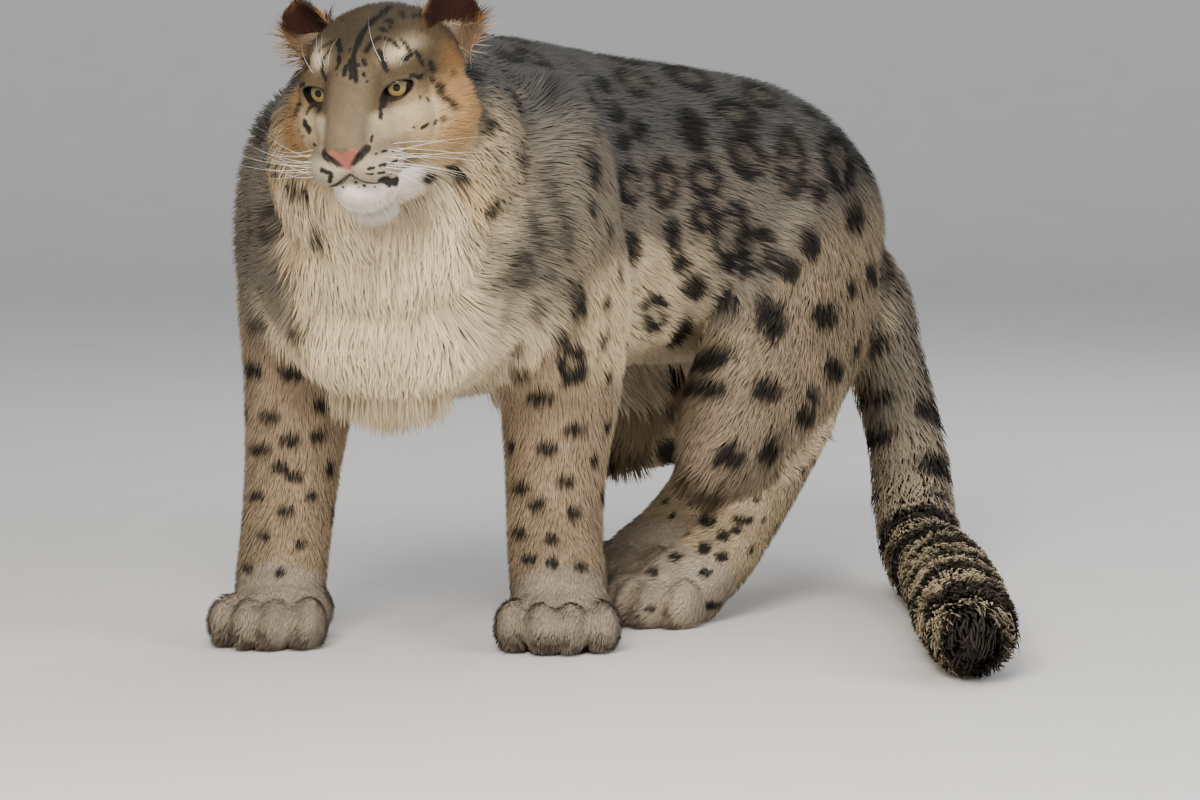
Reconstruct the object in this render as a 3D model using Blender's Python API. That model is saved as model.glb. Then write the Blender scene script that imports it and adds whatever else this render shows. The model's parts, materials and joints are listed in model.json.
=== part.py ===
"""A snow leopard standing on all four feet with its head turned, modelled life-size for Blender 4.5.

Metres, +Z up. The animal walks towards -Y and its left side is +X. The soles and the lying tail rest on
z = 0. The body is modelled whole from lofted tubes and ellipsoids, remeshed into one skin at the tips of the
short coat, and given tapered locks where the fur is long: ruff, bib, belly and tail. It is then parted into
the pieces a person would name. Neighbouring pieces keep a thin gap.
"""

import math
import random

import bmesh
import bpy
import numpy as np
from mathutils import Matrix, Vector
from mathutils.bvhtree import BVHTree

# Driving dimensions
GAP = 0.0003  # clearance that neighbouring pieces keep
ORIGIN = Vector((0.163, 0.1565, 0.0))  # middle of the animal's outline on the floor, in the modelling frame
RING_SIDES = 28  # of a body tube
CUTTER_SIDES = 9
BODY_VOXEL = 0.0045
BODY_SMOOTHING = 70
BODY_TRIANGLES = 3250
HEAD_VOXEL = 0.0022
HEAD_SMOOTHING = 48
HEAD_TRIANGLES = 3200

# Head frame: the point midway between the eyes, and where the face looks
EYES_MIDDLE = Vector((0.0707, -0.3193, 0.5275))
FACE_TURN = math.radians(16.0)  # towards the animal's left
FACE_PITCH = math.radians(-10.0)
FACE_ROLL = math.radians(5.0)
EYE_OFFSET = Vector((-0.0060, 0.0325, 0.0000))  # forward, left, up
EYE_RADIUS = 0.0165
EYE_OUTWARD = math.radians(12.0)  # how far each eye looks outwards
LID_WIDTH = 0.0240
LID_HEIGHT = 0.0165
LID_SHIFT = 0.0015  # of the opening, outwards
LID_SLANT = math.radians(14.0)  # the outer corner is the higher one
EAR_BASE = Vector((-0.082, 0.058, 0.024))
EAR_HEIGHT = 0.060
EAR_WIDTH = 0.060
EAR_THICKNESS = 0.0075

# Stations of a tube: x, y, z, half width across, half height or depth
TRUNK = [
    (0.004, -0.200, 0.340, 0.070, 0.080),
    (-0.012, -0.150, 0.360, 0.124, 0.140),
    (-0.040, -0.050, 0.395, 0.152, 0.170),
    (-0.056, 0.100, 0.396, 0.150, 0.170),
    (-0.045, 0.250, 0.390, 0.142, 0.157),
    (-0.010, 0.390, 0.380, 0.136, 0.148),
    (0.018, 0.490, 0.365, 0.128, 0.142),
    (0.046, 0.570, 0.335, 0.092, 0.112),
    (0.058, 0.615, 0.315, 0.050, 0.070),
]
NECK = [
    (-0.040, -0.030, 0.440, 0.120, 0.115),
    (-0.012, -0.120, 0.455, 0.120, 0.122),
    (0.015, -0.195, 0.472, 0.104, 0.112),
    (0.035, -0.240, 0.490, 0.084, 0.088),
]
TAIL = [
    (0.055, 0.590, 0.345, 0.058, 0.062),
    (0.072, 0.640, 0.295, 0.046, 0.048),
    (0.090, 0.654, 0.215, 0.036, 0.036),
    (0.124, 0.632, 0.140, 0.036, 0.036),
    (0.168, 0.565, 0.080, 0.038, 0.038),
    (0.228, 0.470, 0.046, 0.040, 0.040),
    (0.308, 0.350, 0.043, 0.042, 0.042),
    (0.382, 0.224, 0.043, 0.043, 0.043),
    (0.447, 0.108, 0.043, 0.043, 0.043),
    (0.495, 0.028, 0.041, 0.039, 0.039),
    (0.515, -0.008, 0.035, 0.028, 0.030),
    (0.521, -0.022, 0.030, 0.012, 0.016),
]
FORELEG = {
    "left": [
        (0.062, 0.000, 0.410, 0.066, 0.100),
        (0.068, 0.022, 0.320, 0.068, 0.092),
        (0.058, 0.050, 0.245, 0.060, 0.070),
        (0.054, 0.048, 0.170, 0.052, 0.055),
        (0.062, 0.032, 0.100, 0.048, 0.049),
        (0.073, 0.020, 0.055, 0.048, 0.048),
    ],
    "right": [
        (-0.142, -0.050, 0.410, 0.064, 0.100),
        (-0.158, -0.040, 0.320, 0.066, 0.090),
        (-0.176, -0.032, 0.245, 0.056, 0.068),
        (-0.177, -0.045, 0.170, 0.049, 0.054),
        (-0.170, -0.070, 0.100, 0.045, 0.048),
        (-0.166, -0.086, 0.055, 0.045, 0.046),
    ],
}
THIGH = {
    "left": [
        (0.064, 0.510, 0.400, 0.072, 0.118),
        (0.090, 0.455, 0.320, 0.076, 0.130),
        (0.108, 0.372, 0.240, 0.068, 0.100),
        (0.108, 0.300, 0.180, 0.058, 0.072),
        (0.104, 0.270, 0.158, 0.048, 0.057),
    ],
    "right": [
        (-0.036, 0.520, 0.400, 0.072, 0.118),
        (-0.068, 0.480, 0.320, 0.072, 0.125),
        (-0.078, 0.430, 0.240, 0.062, 0.096),
        (-0.072, 0.390, 0.190, 0.054, 0.070),
        (-0.068, 0.370, 0.170, 0.046, 0.056),
    ],
}
SHANK = {
    "left": [
        (0.104, 0.285, 0.165, 0.052, 0.062),
        (0.114, 0.350, 0.172, 0.052, 0.062),
        (0.124, 0.405, 0.190, 0.040, 0.048),
    ],
    "right": [
        (-0.070, 0.385, 0.175, 0.050, 0.060),
        (-0.058, 0.460, 0.172, 0.050, 0.058),
        (-0.044, 0.530, 0.172, 0.038, 0.046),
    ],
}
HIND_FOOT = {
    "left": [
        (0.133, 0.444, 0.236, 0.024, 0.024),
        (0.130, 0.424, 0.206, 0.034, 0.036),
        (0.123, 0.370, 0.152, 0.038, 0.040),
        (0.115, 0.312, 0.098, 0.039, 0.040),
        (0.107, 0.255, 0.055, 0.043, 0.039),
        (0.101, 0.228, 0.042, 0.045, 0.038),
    ],
    "right": [
        (-0.030, 0.582, 0.208, 0.024, 0.024),
        (-0.034, 0.568, 0.180, 0.033, 0.035),
        (-0.040, 0.535, 0.130, 0.037, 0.040),
        (-0.045, 0.500, 0.085, 0.038, 0.038),
        (-0.050, 0.460, 0.052, 0.043, 0.039),
        (-0.053, 0.440, 0.042, 0.045, 0.038),
    ],
}
# Each paw: middle of the toes' row on the floor, heading in degrees towards the animal's left, half width
PAWS = {
    "front_left": ((0.092, -0.012), 26.0, 0.055),
    "front_right": ((-0.152, -0.118), 14.0, 0.053),
    "hind_left": ((0.091, 0.196), -10.0, 0.048),
    "hind_right": ((-0.060, 0.410), -6.0, 0.047),
}
TOE_FAN = math.radians(9.0)

# Muscles and long fur: centre, half sizes along x, y, z, and a turn about z in degrees
MASSES = [
    ((0.070, -0.005, 0.395), (0.070, 0.100, 0.140), 10.0),
    ((-0.150, -0.052, 0.385), (0.068, 0.100, 0.140), 10.0),
    ((-0.004, -0.155, 0.330), (0.106, 0.068, 0.090), 10.0),
    ((0.012, -0.188, 0.400), (0.090, 0.062, 0.082), 10.0),
    ((-0.045, 0.000, 0.290), (0.098, 0.118, 0.054), 0.0),
    ((-0.030, 0.220, 0.295), (0.106, 0.168, 0.054), 0.0),
    ((0.066, 0.475, 0.360), (0.082, 0.120, 0.120), -19.0),
    ((-0.048, 0.505, 0.360), (0.080, 0.115, 0.120), -19.0),
    ((-0.045, 0.020, 0.490), (0.085, 0.150, 0.078), 0.0),
]

# Head masses in the head frame: forward, left, up, then half sizes; one with a left offset is mirrored
HEAD_MASSES = [
    ((-0.070, 0.000, 0.000), (0.080, 0.072, 0.060)),
    ((-0.030, 0.000, 0.006), (0.050, 0.058, 0.044)),
    ((-0.050, 0.042, -0.036), (0.056, 0.041, 0.052)),
    ((-0.008, 0.031, -0.030), (0.044, 0.031, 0.036)),
    ((-0.007, 0.0345, 0.000), (0.0220, 0.0245, 0.0215)),
    ((0.012, 0.0220, -0.026), (0.034, 0.0200, 0.030)),
    ((0.040, 0.018, -0.056), (0.038, 0.025, 0.022)),
    ((0.022, 0.000, -0.082), (0.040, 0.031, 0.022)),
    ((-0.034, 0.000, -0.076), (0.062, 0.054, 0.038)),
]
MUZZLE = [
    (-0.014, 0.000, 0.006, 0.036, 0.036),
    (0.020, 0.000, -0.016, 0.030, 0.033),
    (0.048, 0.000, -0.036, 0.025, 0.025),
    (0.070, 0.000, -0.049, 0.021, 0.017),
]
NOSTRIL = Vector((0.0815, 0.0085, -0.0520))
PHILTRUM = [
    (0.0880, 0.0, -0.0570),
    (0.0820, 0.0, -0.0620),
    (0.0780, 0.0, -0.0665),
]
MOUTH_LINE = [
    (0.076, 0.0000, -0.0665),
    (0.072, 0.0100, -0.0705),
    (0.058, 0.0230, -0.0755),
    (0.036, 0.0340, -0.0750),
    (0.014, 0.0400, -0.0700),
]
MOUTH_DEPTH = 0.0016

# Colours: red, green, blue, roughness
COAT = {
    "cream": (0.66, 0.61, 0.53, 0.9),
    "grey": (0.42, 0.39, 0.34, 0.9),
    "tan": (0.50, 0.42, 0.32, 0.9),
    "dark": (0.10, 0.08, 0.07, 0.9),
    "amber": (0.42, 0.33, 0.14, 0.15),
}

# The room that each limb takes from the body, as stations of a tube
LIMBS = {
    "hind_foot_left": [
        (0.134, 0.462, 0.268, 0.032, 0.032),
        (0.130, 0.424, 0.206, 0.041, 0.043),
        (0.123, 0.370, 0.152, 0.045, 0.046),
        (0.115, 0.312, 0.098, 0.046, 0.046),
        (0.107, 0.255, 0.055, 0.052, 0.052),
    ],
    "hind_foot_right": [
        (-0.028, 0.600, 0.240, 0.032, 0.032),
        (-0.034, 0.568, 0.180, 0.041, 0.043),
        (-0.040, 0.535, 0.130, 0.045, 0.046),
        (-0.045, 0.500, 0.085, 0.046, 0.046),
        (-0.050, 0.465, 0.055, 0.052, 0.052),
    ],
    "thigh_left": [
        (0.066, 0.530, 0.430, 0.080, 0.130),
        (0.090, 0.462, 0.320, 0.088, 0.142),
        (0.112, 0.385, 0.222, 0.082, 0.128),
        (0.110, 0.300, 0.150, 0.076, 0.104),
        (0.104, 0.225, 0.110, 0.070, 0.090),
    ],
    "thigh_right": [
        (-0.040, 0.540, 0.430, 0.080, 0.130),
        (-0.068, 0.485, 0.320, 0.086, 0.138),
        (-0.076, 0.445, 0.222, 0.078, 0.124),
        (-0.068, 0.390, 0.150, 0.072, 0.104),
        (-0.066, 0.325, 0.115, 0.066, 0.088),
    ],
    "upper_arm_left": [
        (0.092, -0.018, 0.490, 0.070, 0.090),
        (0.092, 0.004, 0.400, 0.086, 0.110),
        (0.084, 0.022, 0.320, 0.084, 0.106),
        (0.064, 0.048, 0.204, 0.092, 0.094),
    ],
    "upper_arm_right": [
        (-0.172, -0.066, 0.490, 0.070, 0.090),
        (-0.172, -0.055, 0.400, 0.086, 0.110),
        (-0.170, -0.042, 0.320, 0.084, 0.106),
        (-0.172, -0.038, 0.204, 0.086, 0.090),
    ],
    "tail_1": [(x, y, z, across + 0.032, deep + 0.032) for x, y, z, across, deep in TAIL[1:]],
}
# A point inside each piece that the limbs leave loose
LOOSE = {
    "chest": (-0.040, 0.050, 0.400),
    "foreleg_left": (0.060, 0.030, 0.100),
    "foreleg_right": (-0.168, -0.070, 0.100),
    "hind_paw_left": (0.095, 0.200, 0.030),
    "hind_paw_right": (-0.058, 0.415, 0.030),
}
# Flat cuts: the piece that is cut, the new piece beyond the cut, a point of the cut and the way beyond
CUTS = [
    ("foreleg_left", "front_paw_left", (0.070, 0.024, 0.066), (0.10, -0.30, -1.0)),
    ("foreleg_right", "front_paw_right", (-0.168, -0.080, 0.066), (0.05, -0.30, -1.0)),
    ("thigh_left", "shank_left", (0.110, 0.350, 0.200), (0.0, 0.25, -1.0)),
    ("thigh_right", "shank_right", (-0.062, 0.440, 0.200), (0.0, 0.10, -1.0)),
    ("chest", "torso", (-0.050, 0.140, 0.390), (0.05, 1.0, 0.0)),
    ("torso", "rump", (-0.014, 0.375, 0.380), (0.24, 1.0, 0.0)),
    ("chest", "neck", (-0.012, -0.145, 0.455), (0.20, -0.62, 0.76)),
    ("tail_1", "tail_2", (0.108, 0.645, 0.175), (0.20, -0.30, -1.0)),
    ("tail_2", "tail_3", (0.232, 0.464, 0.055), (0.54, -0.84, 0.0)),
    ("tail_3", "tail_4", (0.338, 0.298, 0.055), (0.52, -0.85, 0.0)),
    ("tail_4", "tail_5", (0.432, 0.134, 0.055), (0.48, -0.87, 0.0)),
]
HEAD_CUT = (Vector((-0.088, 0.000, -0.020)), Vector((0.88, 0.0, 0.47)))  # in the head frame
# A lock's rings from root to tip: place along it, width, thickness, and height off its core, as shares
LOCK_RINGS = [
    (-0.10, 0.70, 1.00, -0.75),
    (0.30, 1.00, 1.00, 0.30),
    (0.68, 0.76, 0.70, 0.80),
]
LOCK_TIP = 1.10  # height of the point
LOCK_THICKNESS = 0.16  # height of the ridge, of its width
LOCK_SWAY = 0.16  # most that a tip strays sideways, of its length
CHEST_TURN = math.radians(18.0)  # the chest faces a little to the animal's left
# Rows of locks round an upright axis on the chest: height, length, width, rise, count, half fan in degrees
BIB_ROWS = [
    (0.405, 0.086, 0.054, 0.020, 4, 42.0),
    (0.355, 0.092, 0.056, 0.022, 5, 50.0),
    (0.305, 0.094, 0.054, 0.022, 4, 42.0),
    (0.262, 0.084, 0.050, 0.020, 3, 30.0),
]
BIB_AXIS = (-0.020, -0.090)
# Rows round the neck, as shares of its tube: place, length, width, rise, count, half fan from the throat
RUFF_ROWS = [
    (0.60, 0.090, 0.056, 0.019, 5, 100.0),
    (0.78, 0.086, 0.054, 0.018, 6, 112.0),
]
CHEEK_LOCKS = [
    (-0.042, 26.0),
    (-0.050, 52.0),
    (-0.058, 78.0),
]  # in the head frame: how far forward, and the angle from the chin towards the crown
CHEEK_LENGTH = 0.056
CHEEK_WIDTH = 0.032
CHEEK_RISE = 0.009
# Fringes along the belly: degrees from straight down
BELLY_FANS = (-26.0, 0.0, 26.0)
BELLY_SPAN = (0.050, 0.300)
BELLY_COUNT = 4
BELLY_LOCK = (0.080, 0.050, 0.016)
TAIL_START = 0.165
TAIL_STEP = 0.086
TAIL_AROUND = 4
TAIL_LOCK = (0.112, 0.062, 0.015)
TAIL_CLOSING = 0.12  # how much a tail lock leans in towards its tip
COLOURS = {
    "head": "tan",
    "neck": "cream",
    "chest": "grey",
    "torso": "grey",
    "rump": "grey",
    "tail_5": "dark",
    "ear_left": "dark",
    "ear_right": "dark",
    "eye_left": "amber",
    "eye_right": "amber",
}


def new_object(name, bm):
    """A mesh object in the scene from a bmesh, which is freed."""
    mesh = bpy.data.meshes.new(name)
    bm.to_mesh(mesh)
    bm.free()
    body = bpy.data.objects.new(name, mesh)
    bpy.context.scene.collection.objects.link(body)
    return body


def coat_material(name, colour):
    """A plain material for one piece."""
    red, green, blue, roughness = COAT[colour]
    material = bpy.data.materials.new(name)
    material.use_nodes = True
    shader = material.node_tree.nodes["Principled BSDF"]
    shader.inputs["Base Color"].default_value = (red, green, blue, 1.0)
    shader.inputs["Roughness"].default_value = roughness
    shader.inputs["Metallic"].default_value = 0.0
    return material


def head_frame():
    """The head's place: its columns point forward, left and up."""
    turn = Matrix.Rotation(FACE_TURN, 4, "Z")
    base = Matrix(((0, 1, 0), (-1, 0, 0), (0, 0, 1))).to_4x4()
    pitch = Matrix.Rotation(-FACE_PITCH, 4, "Y")
    roll = Matrix.Rotation(FACE_ROLL, 4, "X")
    return Matrix.Translation(EYES_MIDDLE) @ turn @ base @ pitch @ roll


def spline(stations, steps=6):
    """Catmull-Rom through the stations, all their numbers alike."""
    rows = np.array(stations, float)
    ends = np.vstack([2 * rows[0] - rows[1], rows, 2 * rows[-1] - rows[-2]])
    out = []
    for a, b, c, d in zip(ends, ends[1:], ends[2:], ends[3:]):
        for t in np.linspace(0, 1, steps, endpoint=False):
            bend = (2 * a - 5 * b + 4 * c - d) * t**2 + (3 * b - a - 3 * c + d) * t**3
            out.append(0.5 * (2 * b + (c - a) * t + bend))
    return np.array(out + [rows[-1]])


def add_tube(bm, rows, sides=RING_SIDES, across=(1.0, 0.0, 0.0), place=None):
    """A closed tube of elliptical rings through the rows of x, y, z, half width, half height."""
    side = Vector(across)
    centres = [place @ Vector(row[:3]) if place else Vector(row[:3]) for row in rows]
    rings = []
    for i, row in enumerate(rows):
        ahead = (centres[min(i + 1, len(rows) - 1)] - centres[max(i - 1, 0)]).normalized()
        side = (side - ahead * side.dot(ahead)).normalized()
        up = side.cross(ahead)
        ring = []
        for k in range(sides):
            angle = 2 * math.pi * k / sides
            reach = side * (row[3] * math.cos(angle)) + up * (row[4] * math.sin(angle))
            ring.append(bm.verts.new(centres[i] + reach))
        rings.append(ring)
    for low, high in zip(rings, rings[1:]):
        for k in range(sides):
            j = (k + 1) % sides
            bm.faces.new((low[k], low[j], high[j], high[k]))
    bm.faces.new(list(reversed(rings[0])))
    bm.faces.new(rings[-1])
    bmesh.ops.recalc_face_normals(bm, faces=bm.faces)


def add_mass(bm, centre, half, turn=None):
    """An ellipsoid, turned by a matrix about its centre."""
    place = Matrix.Translation(centre) @ (turn or Matrix.Identity(4)) @ Matrix.Diagonal((*half, 1.0))
    bmesh.ops.create_icosphere(bm, subdivisions=4, radius=1.0, matrix=place)


def add_limb(bm, stations):
    """A body tube with round ends."""
    add_tube(bm, spline(stations))
    for x, y, z, across, deep in (stations[0], stations[-1]):
        add_mass(bm, (x, y, z), (across, across, min(across, deep)))


def add_paw(bm, place, heading, half_width):
    """A broad furred paw: the pad and four toes side by side."""
    turn = Matrix.Rotation(math.radians(heading), 4, "Z")
    middle = Vector((*place, 0.0))
    add_mass(bm, middle + turn @ Vector((0, 0.020, 0.031)), (half_width * 0.95, 0.050, 0.040), turn)
    for slot in (-1.5, -0.5, 0.5, 1.5):
        fan = Matrix.Rotation(slot * TOE_FAN, 4, "Z")
        reach = 0.030 if abs(slot) < 1 else 0.014
        centre = middle + turn @ Vector((slot * half_width * 0.48, -reach, 0.0225))
        add_mass(bm, centre, (half_width * 0.34, 0.033, 0.0270), turn @ fan)


def add_head(bm):
    """Cranium, cheeks, brows, muzzle and jaw."""
    frame = head_frame()
    turn = frame.to_3x3().to_4x4()
    for (forward, left, up), half in HEAD_MASSES:
        for side in (1,) if left == 0 else (1, -1):
            add_mass(bm, frame @ Vector((forward, left * side, up)), half, turn)
    add_tube(bm, spline(MUZZLE), across=turn @ Vector((0, 1, 0)), place=frame)


def add_front(bm):
    """The head and what it grows from."""
    add_tube(bm, spline(NECK))
    add_mass(bm, NECK[-1][:3], (NECK[-1][3], NECK[-1][3], NECK[-1][4]))
    add_head(bm)


def add_body(bm):
    """Everything but the ears and eyes."""
    add_tube(bm, spline(TRUNK))
    add_tube(bm, spline(TAIL))
    add_front(bm)
    for centre, half, turn in MASSES:
        add_mass(bm, centre, half, Matrix.Rotation(math.radians(turn), 4, "Z"))
    for side in ("left", "right"):
        for limb in (FORELEG[side], THIGH[side], SHANK[side], HIND_FOOT[side]):
            add_limb(bm, limb)
    for place, heading, half_width in PAWS.values():
        add_paw(bm, place, heading, half_width)


def apply_modifiers(body):
    """Applies an object's modifiers in their order."""
    with bpy.context.temp_override(object=body, active_object=body, selected_objects=[body]):
        for name in [modifier.name for modifier in body.modifiers]:
            bpy.ops.object.modifier_apply(modifier=name)


def skinned(name, fill, voxel, smoothing, triangles, weight):
    """One closed smooth skin round the masses that a function adds to a bmesh."""
    bm = bmesh.new()
    fill(bm)
    body = new_object(name, bm)
    remesh = body.modifiers.new("skin", "REMESH")
    remesh.mode = "VOXEL"
    remesh.voxel_size = voxel
    apply_modifiers(body)
    group = body.vertex_groups.new(name="smooth")
    for vertex in body.data.vertices:
        group.add([vertex.index], weight(vertex.co), "REPLACE")
    smooth = body.modifiers.new("soften", "SMOOTH")
    smooth.factor = 0.5
    smooth.iterations = smoothing
    smooth.vertex_group = group.name
    apply_modifiers(body)
    fewer = body.modifiers.new("fewer", "DECIMATE")
    fewer.ratio = triangles / (2.0 * len(body.data.polygons))
    apply_modifiers(body)
    body.vertex_groups.clear()
    return body


def body_softness(point):
    """Paws keep their toes and the trunk is smoothed most."""
    return min(max((point.z - 0.045) / 0.12, 0.10), 1.0)


def head_softness(point):
    """The face keeps its forms and the neck is smoothed."""
    forward = (head_frame().inverted() @ point).x
    return 0.30 if forward > 0.02 else min(max((-0.06 - forward) / 0.06, 0.60), 1.0)


def combine(body, cutter, operation, solver="EXACT"):
    """A Boolean with another object, applied."""
    boolean = body.modifiers.new("combine", "BOOLEAN")
    boolean.operation = operation
    boolean.solver = solver
    boolean.object = cutter
    apply_modifiers(body)


def half_space(point, way):
    """A large box whose near face passes through a point and that lies in the given way."""
    bm = bmesh.new()
    turn = Vector((0.0, 0.0, 1.0)).rotation_difference(way).to_matrix().to_4x4()
    bmesh.ops.create_cube(bm, size=3.0, matrix=Matrix.Translation(Vector(point) + way * 1.5) @ turn)
    return new_object("half_space", bm)


def trim(body, point, way):
    """Takes away what lies beyond a plane."""
    box = half_space(point, way)
    combine(body, box, "DIFFERENCE")
    remove(box)
    keep_largest(body)


def halve(body, point, way, name):
    """Cuts a piece by a plane; what lies beyond becomes a new piece."""
    way = Vector(way).normalized()
    beyond = duplicate(body, name)
    trim(body, Vector(point) - way * GAP / 2, way)
    trim(beyond, Vector(point) + way * GAP / 2, -way)
    return beyond


def duplicate(body, name):
    """A copy with a mesh of its own."""
    copy = bpy.data.objects.new(name, body.data.copy())
    bpy.context.scene.collection.objects.link(copy)
    return copy


def remove(*bodies):
    """Takes helper objects away."""
    for body in bodies:
        bpy.data.objects.remove(body)


def shells(bm):
    """Lists of the faces of each closed surface in a bmesh, largest first."""
    left = set(bm.faces)
    found = []
    while left:
        stack = [left.pop()]
        shell = []
        while stack:
            face = stack.pop()
            shell.append(face)
            for edge in face.edges:
                for other in edge.link_faces:
                    if other in left:
                        left.remove(other)
                        stack.append(other)
        found.append(shell)
    return sorted(found, key=lambda shell: -sum(face.calc_area() for face in shell))


def keep_largest(body):
    """Keeps only the largest closed surface."""
    bm = bmesh.new()
    bm.from_mesh(body.data)
    for shell in shells(bm)[1:]:
        bmesh.ops.delete(bm, geom=shell, context="FACES")
    bm.to_mesh(body.data)
    bm.free()


def nearest_shell(body, point, name):
    """A new object of the closed surface whose middle is nearest to a point."""
    bm = bmesh.new()
    bm.from_mesh(body.data)
    found = [shell for shell in shells(bm) if len(shell) > 40]

    def distance(shell):
        middle = sum((face.calc_center_median() * face.calc_area() for face in shell), Vector())
        return (middle / sum(face.calc_area() for face in shell) - Vector(point)).length

    kept = set(min(found, key=distance))
    bmesh.ops.delete(bm, geom=[face for face in bm.faces if face not in kept], context="FACES")
    return new_object(name, bm)


def carve(body, name, stations):
    """Takes the limb that lies inside a tube from the body, and leaves a gap."""
    cutters = []
    for growth in (0.0, GAP):
        rows = np.array(stations, float)
        for end, inner in ((0, 1), (-1, -2)):
            way = rows[end][:3] - rows[inner][:3]
            rows[end][:3] += way / np.linalg.norm(way) * growth
        rows[:, 3:] += growth
        bm = bmesh.new()
        add_tube(bm, rows, sides=CUTTER_SIDES)
        bmesh.ops.triangulate(bm, faces=bm.faces, quad_method="FIXED", ngon_method="EAR_CLIP")
        cutters.append(new_object("cutter", bm))
    limb = duplicate(body, name)
    combine(limb, cutters[0], "INTERSECT")
    keep_largest(limb)
    combine(body, cutters[1], "DIFFERENCE")
    remove(*cutters)
    return limb


def grown(body, name, margin):
    """A copy whose surface is pushed outwards."""
    copy = duplicate(body, name)
    push = copy.modifiers.new("push", "DISPLACE")
    push.mid_level = 0.0
    push.strength = margin
    apply_modifiers(copy)
    return copy


def eye_place(side):
    """The eye's own frame: forward is its gaze."""
    frame = head_frame()
    centre = Vector((EYE_OFFSET.x, EYE_OFFSET.y * side, EYE_OFFSET.z))
    return frame @ Matrix.Translation(centre) @ Matrix.Rotation(EYE_OUTWARD * side, 4, "Z")


def eyeball(name, side, radius):
    """A round eye."""
    bm = bmesh.new()
    turn = Matrix.Rotation(math.pi / 2, 4, "Y")
    matrix = eye_place(side) @ turn
    bmesh.ops.create_uvsphere(bm, u_segments=14, v_segments=9, radius=radius, matrix=matrix)
    bmesh.ops.triangulate(bm, faces=bm.faces)
    return new_object(name, bm)


def lid_opening(side):
    """A prism with the almond outline between the lids, along the gaze."""
    bm = bmesh.new()
    outline = []
    steps = 8
    for k in range(2 * steps):
        angle = math.pi * k / steps
        across = math.cos(angle) * LID_WIDTH / 2 + LID_SHIFT * side
        high = math.sin(angle) * LID_HEIGHT / 2 * (1.0 - 0.25 * abs(math.cos(angle)))
        outline.append((across, high))
    slant = Matrix.Rotation(LID_SLANT * side, 4, "X")
    place = eye_place(side) @ slant
    rings = []
    for depth, spread in ((0.004, 0.96), (0.040, 1.5)):
        rings.append([bm.verts.new(place @ Vector((depth, a * spread, h * spread))) for a, h in outline])
    for k in range(len(outline)):
        j = (k + 1) % len(outline)
        bm.faces.new((rings[0][k], rings[0][j], rings[1][j], rings[1][k]))
    bm.faces.new(rings[0])
    bm.faces.new(rings[1])
    bmesh.ops.recalc_face_normals(bm, faces=bm.faces)
    return new_object("lid_opening", bm)


def groove_cutter(head, line):
    """A thin tube along a line on the head, half sunk in the skin."""
    tree = surface_of(head)
    frame = head_frame()
    rows = []
    for x, y, z in spline(line, steps=2):
        rows.append((*tree.find_nearest(frame @ Vector((x, y, z)))[0], MOUTH_DEPTH, MOUTH_DEPTH))
    for end in (0, -1):
        rows[end] = (*rows[end][:3], MOUTH_DEPTH / 3, MOUTH_DEPTH / 3)
    bm = bmesh.new()
    add_tube(bm, rows, sides=5, across=(0.0, 0.1, 1.0))
    return new_object("groove_cutter", bm)


def nostril_cutter(side):
    """A small hollow in the nose leather."""
    bm = bmesh.new()
    frame = head_frame()
    place = frame @ Matrix.Translation((NOSTRIL.x, NOSTRIL.y * side, NOSTRIL.z))
    place = place @ Matrix.Rotation(math.radians(28.0) * side, 4, "Z")
    place = place @ Matrix.Diagonal((0.0075, 0.0042, 0.0030, 1.0))
    bmesh.ops.create_icosphere(bm, subdivisions=1, radius=1.0, matrix=place)
    return new_object("nostril_cutter", bm)


def make_ear(name, side, head):
    """A cupped ear, open forwards and outwards, set on the head."""
    bm = bmesh.new()
    frame = head_frame()
    place = frame @ Matrix.Translation((EAR_BASE.x, EAR_BASE.y * side, EAR_BASE.z))
    place = place @ Matrix.Rotation(math.radians(-24.0) * side, 4, "X")
    place = place @ Matrix.Rotation(math.radians(24.0) * side, 4, "Z")
    columns = 9
    layers = 7
    grid = []
    for j in range(layers + 1):
        v = j / layers
        width = EAR_WIDTH / 2 * math.sqrt(max(1.0 - v**2.6, 0.0)) * (0.92 + 0.16 * v) + 0.002
        row = []
        for i in range(columns + 1):
            u = 2.0 * i / columns - 1.0
            cup = 0.020 * (1.0 - u * u) * (1.0 - 0.55 * v)
            row.append(bm.verts.new(place @ Vector((-cup + 0.006 * v, u * width, v * EAR_HEIGHT - 0.012))))
        grid.append(row)
    for low, high in zip(grid, grid[1:]):
        for i in range(columns):
            bm.faces.new((low[i], low[i + 1], high[i + 1], high[i]))
    ear = new_object(name, bm)
    thick = ear.modifiers.new("thick", "SOLIDIFY")
    thick.thickness = EAR_THICKNESS
    thick.offset = 0.0
    apply_modifiers(ear)
    bm = bmesh.new()
    bm.from_mesh(ear.data)
    bmesh.ops.recalc_face_normals(bm, faces=bm.faces)
    bmesh.ops.triangulate(bm, faces=bm.faces)
    bm.to_mesh(ear.data)
    bm.free()
    clear = grown(head, "clear", GAP)
    combine(ear, clear, "DIFFERENCE")
    keep_largest(ear)
    remove(clear)
    return ear


def surface_of(body):
    """A search tree of an object's surface."""
    bm = bmesh.new()
    bm.from_mesh(body.data)
    tree = BVHTree.FromBMesh(bm)
    bm.free()
    return tree


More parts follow.
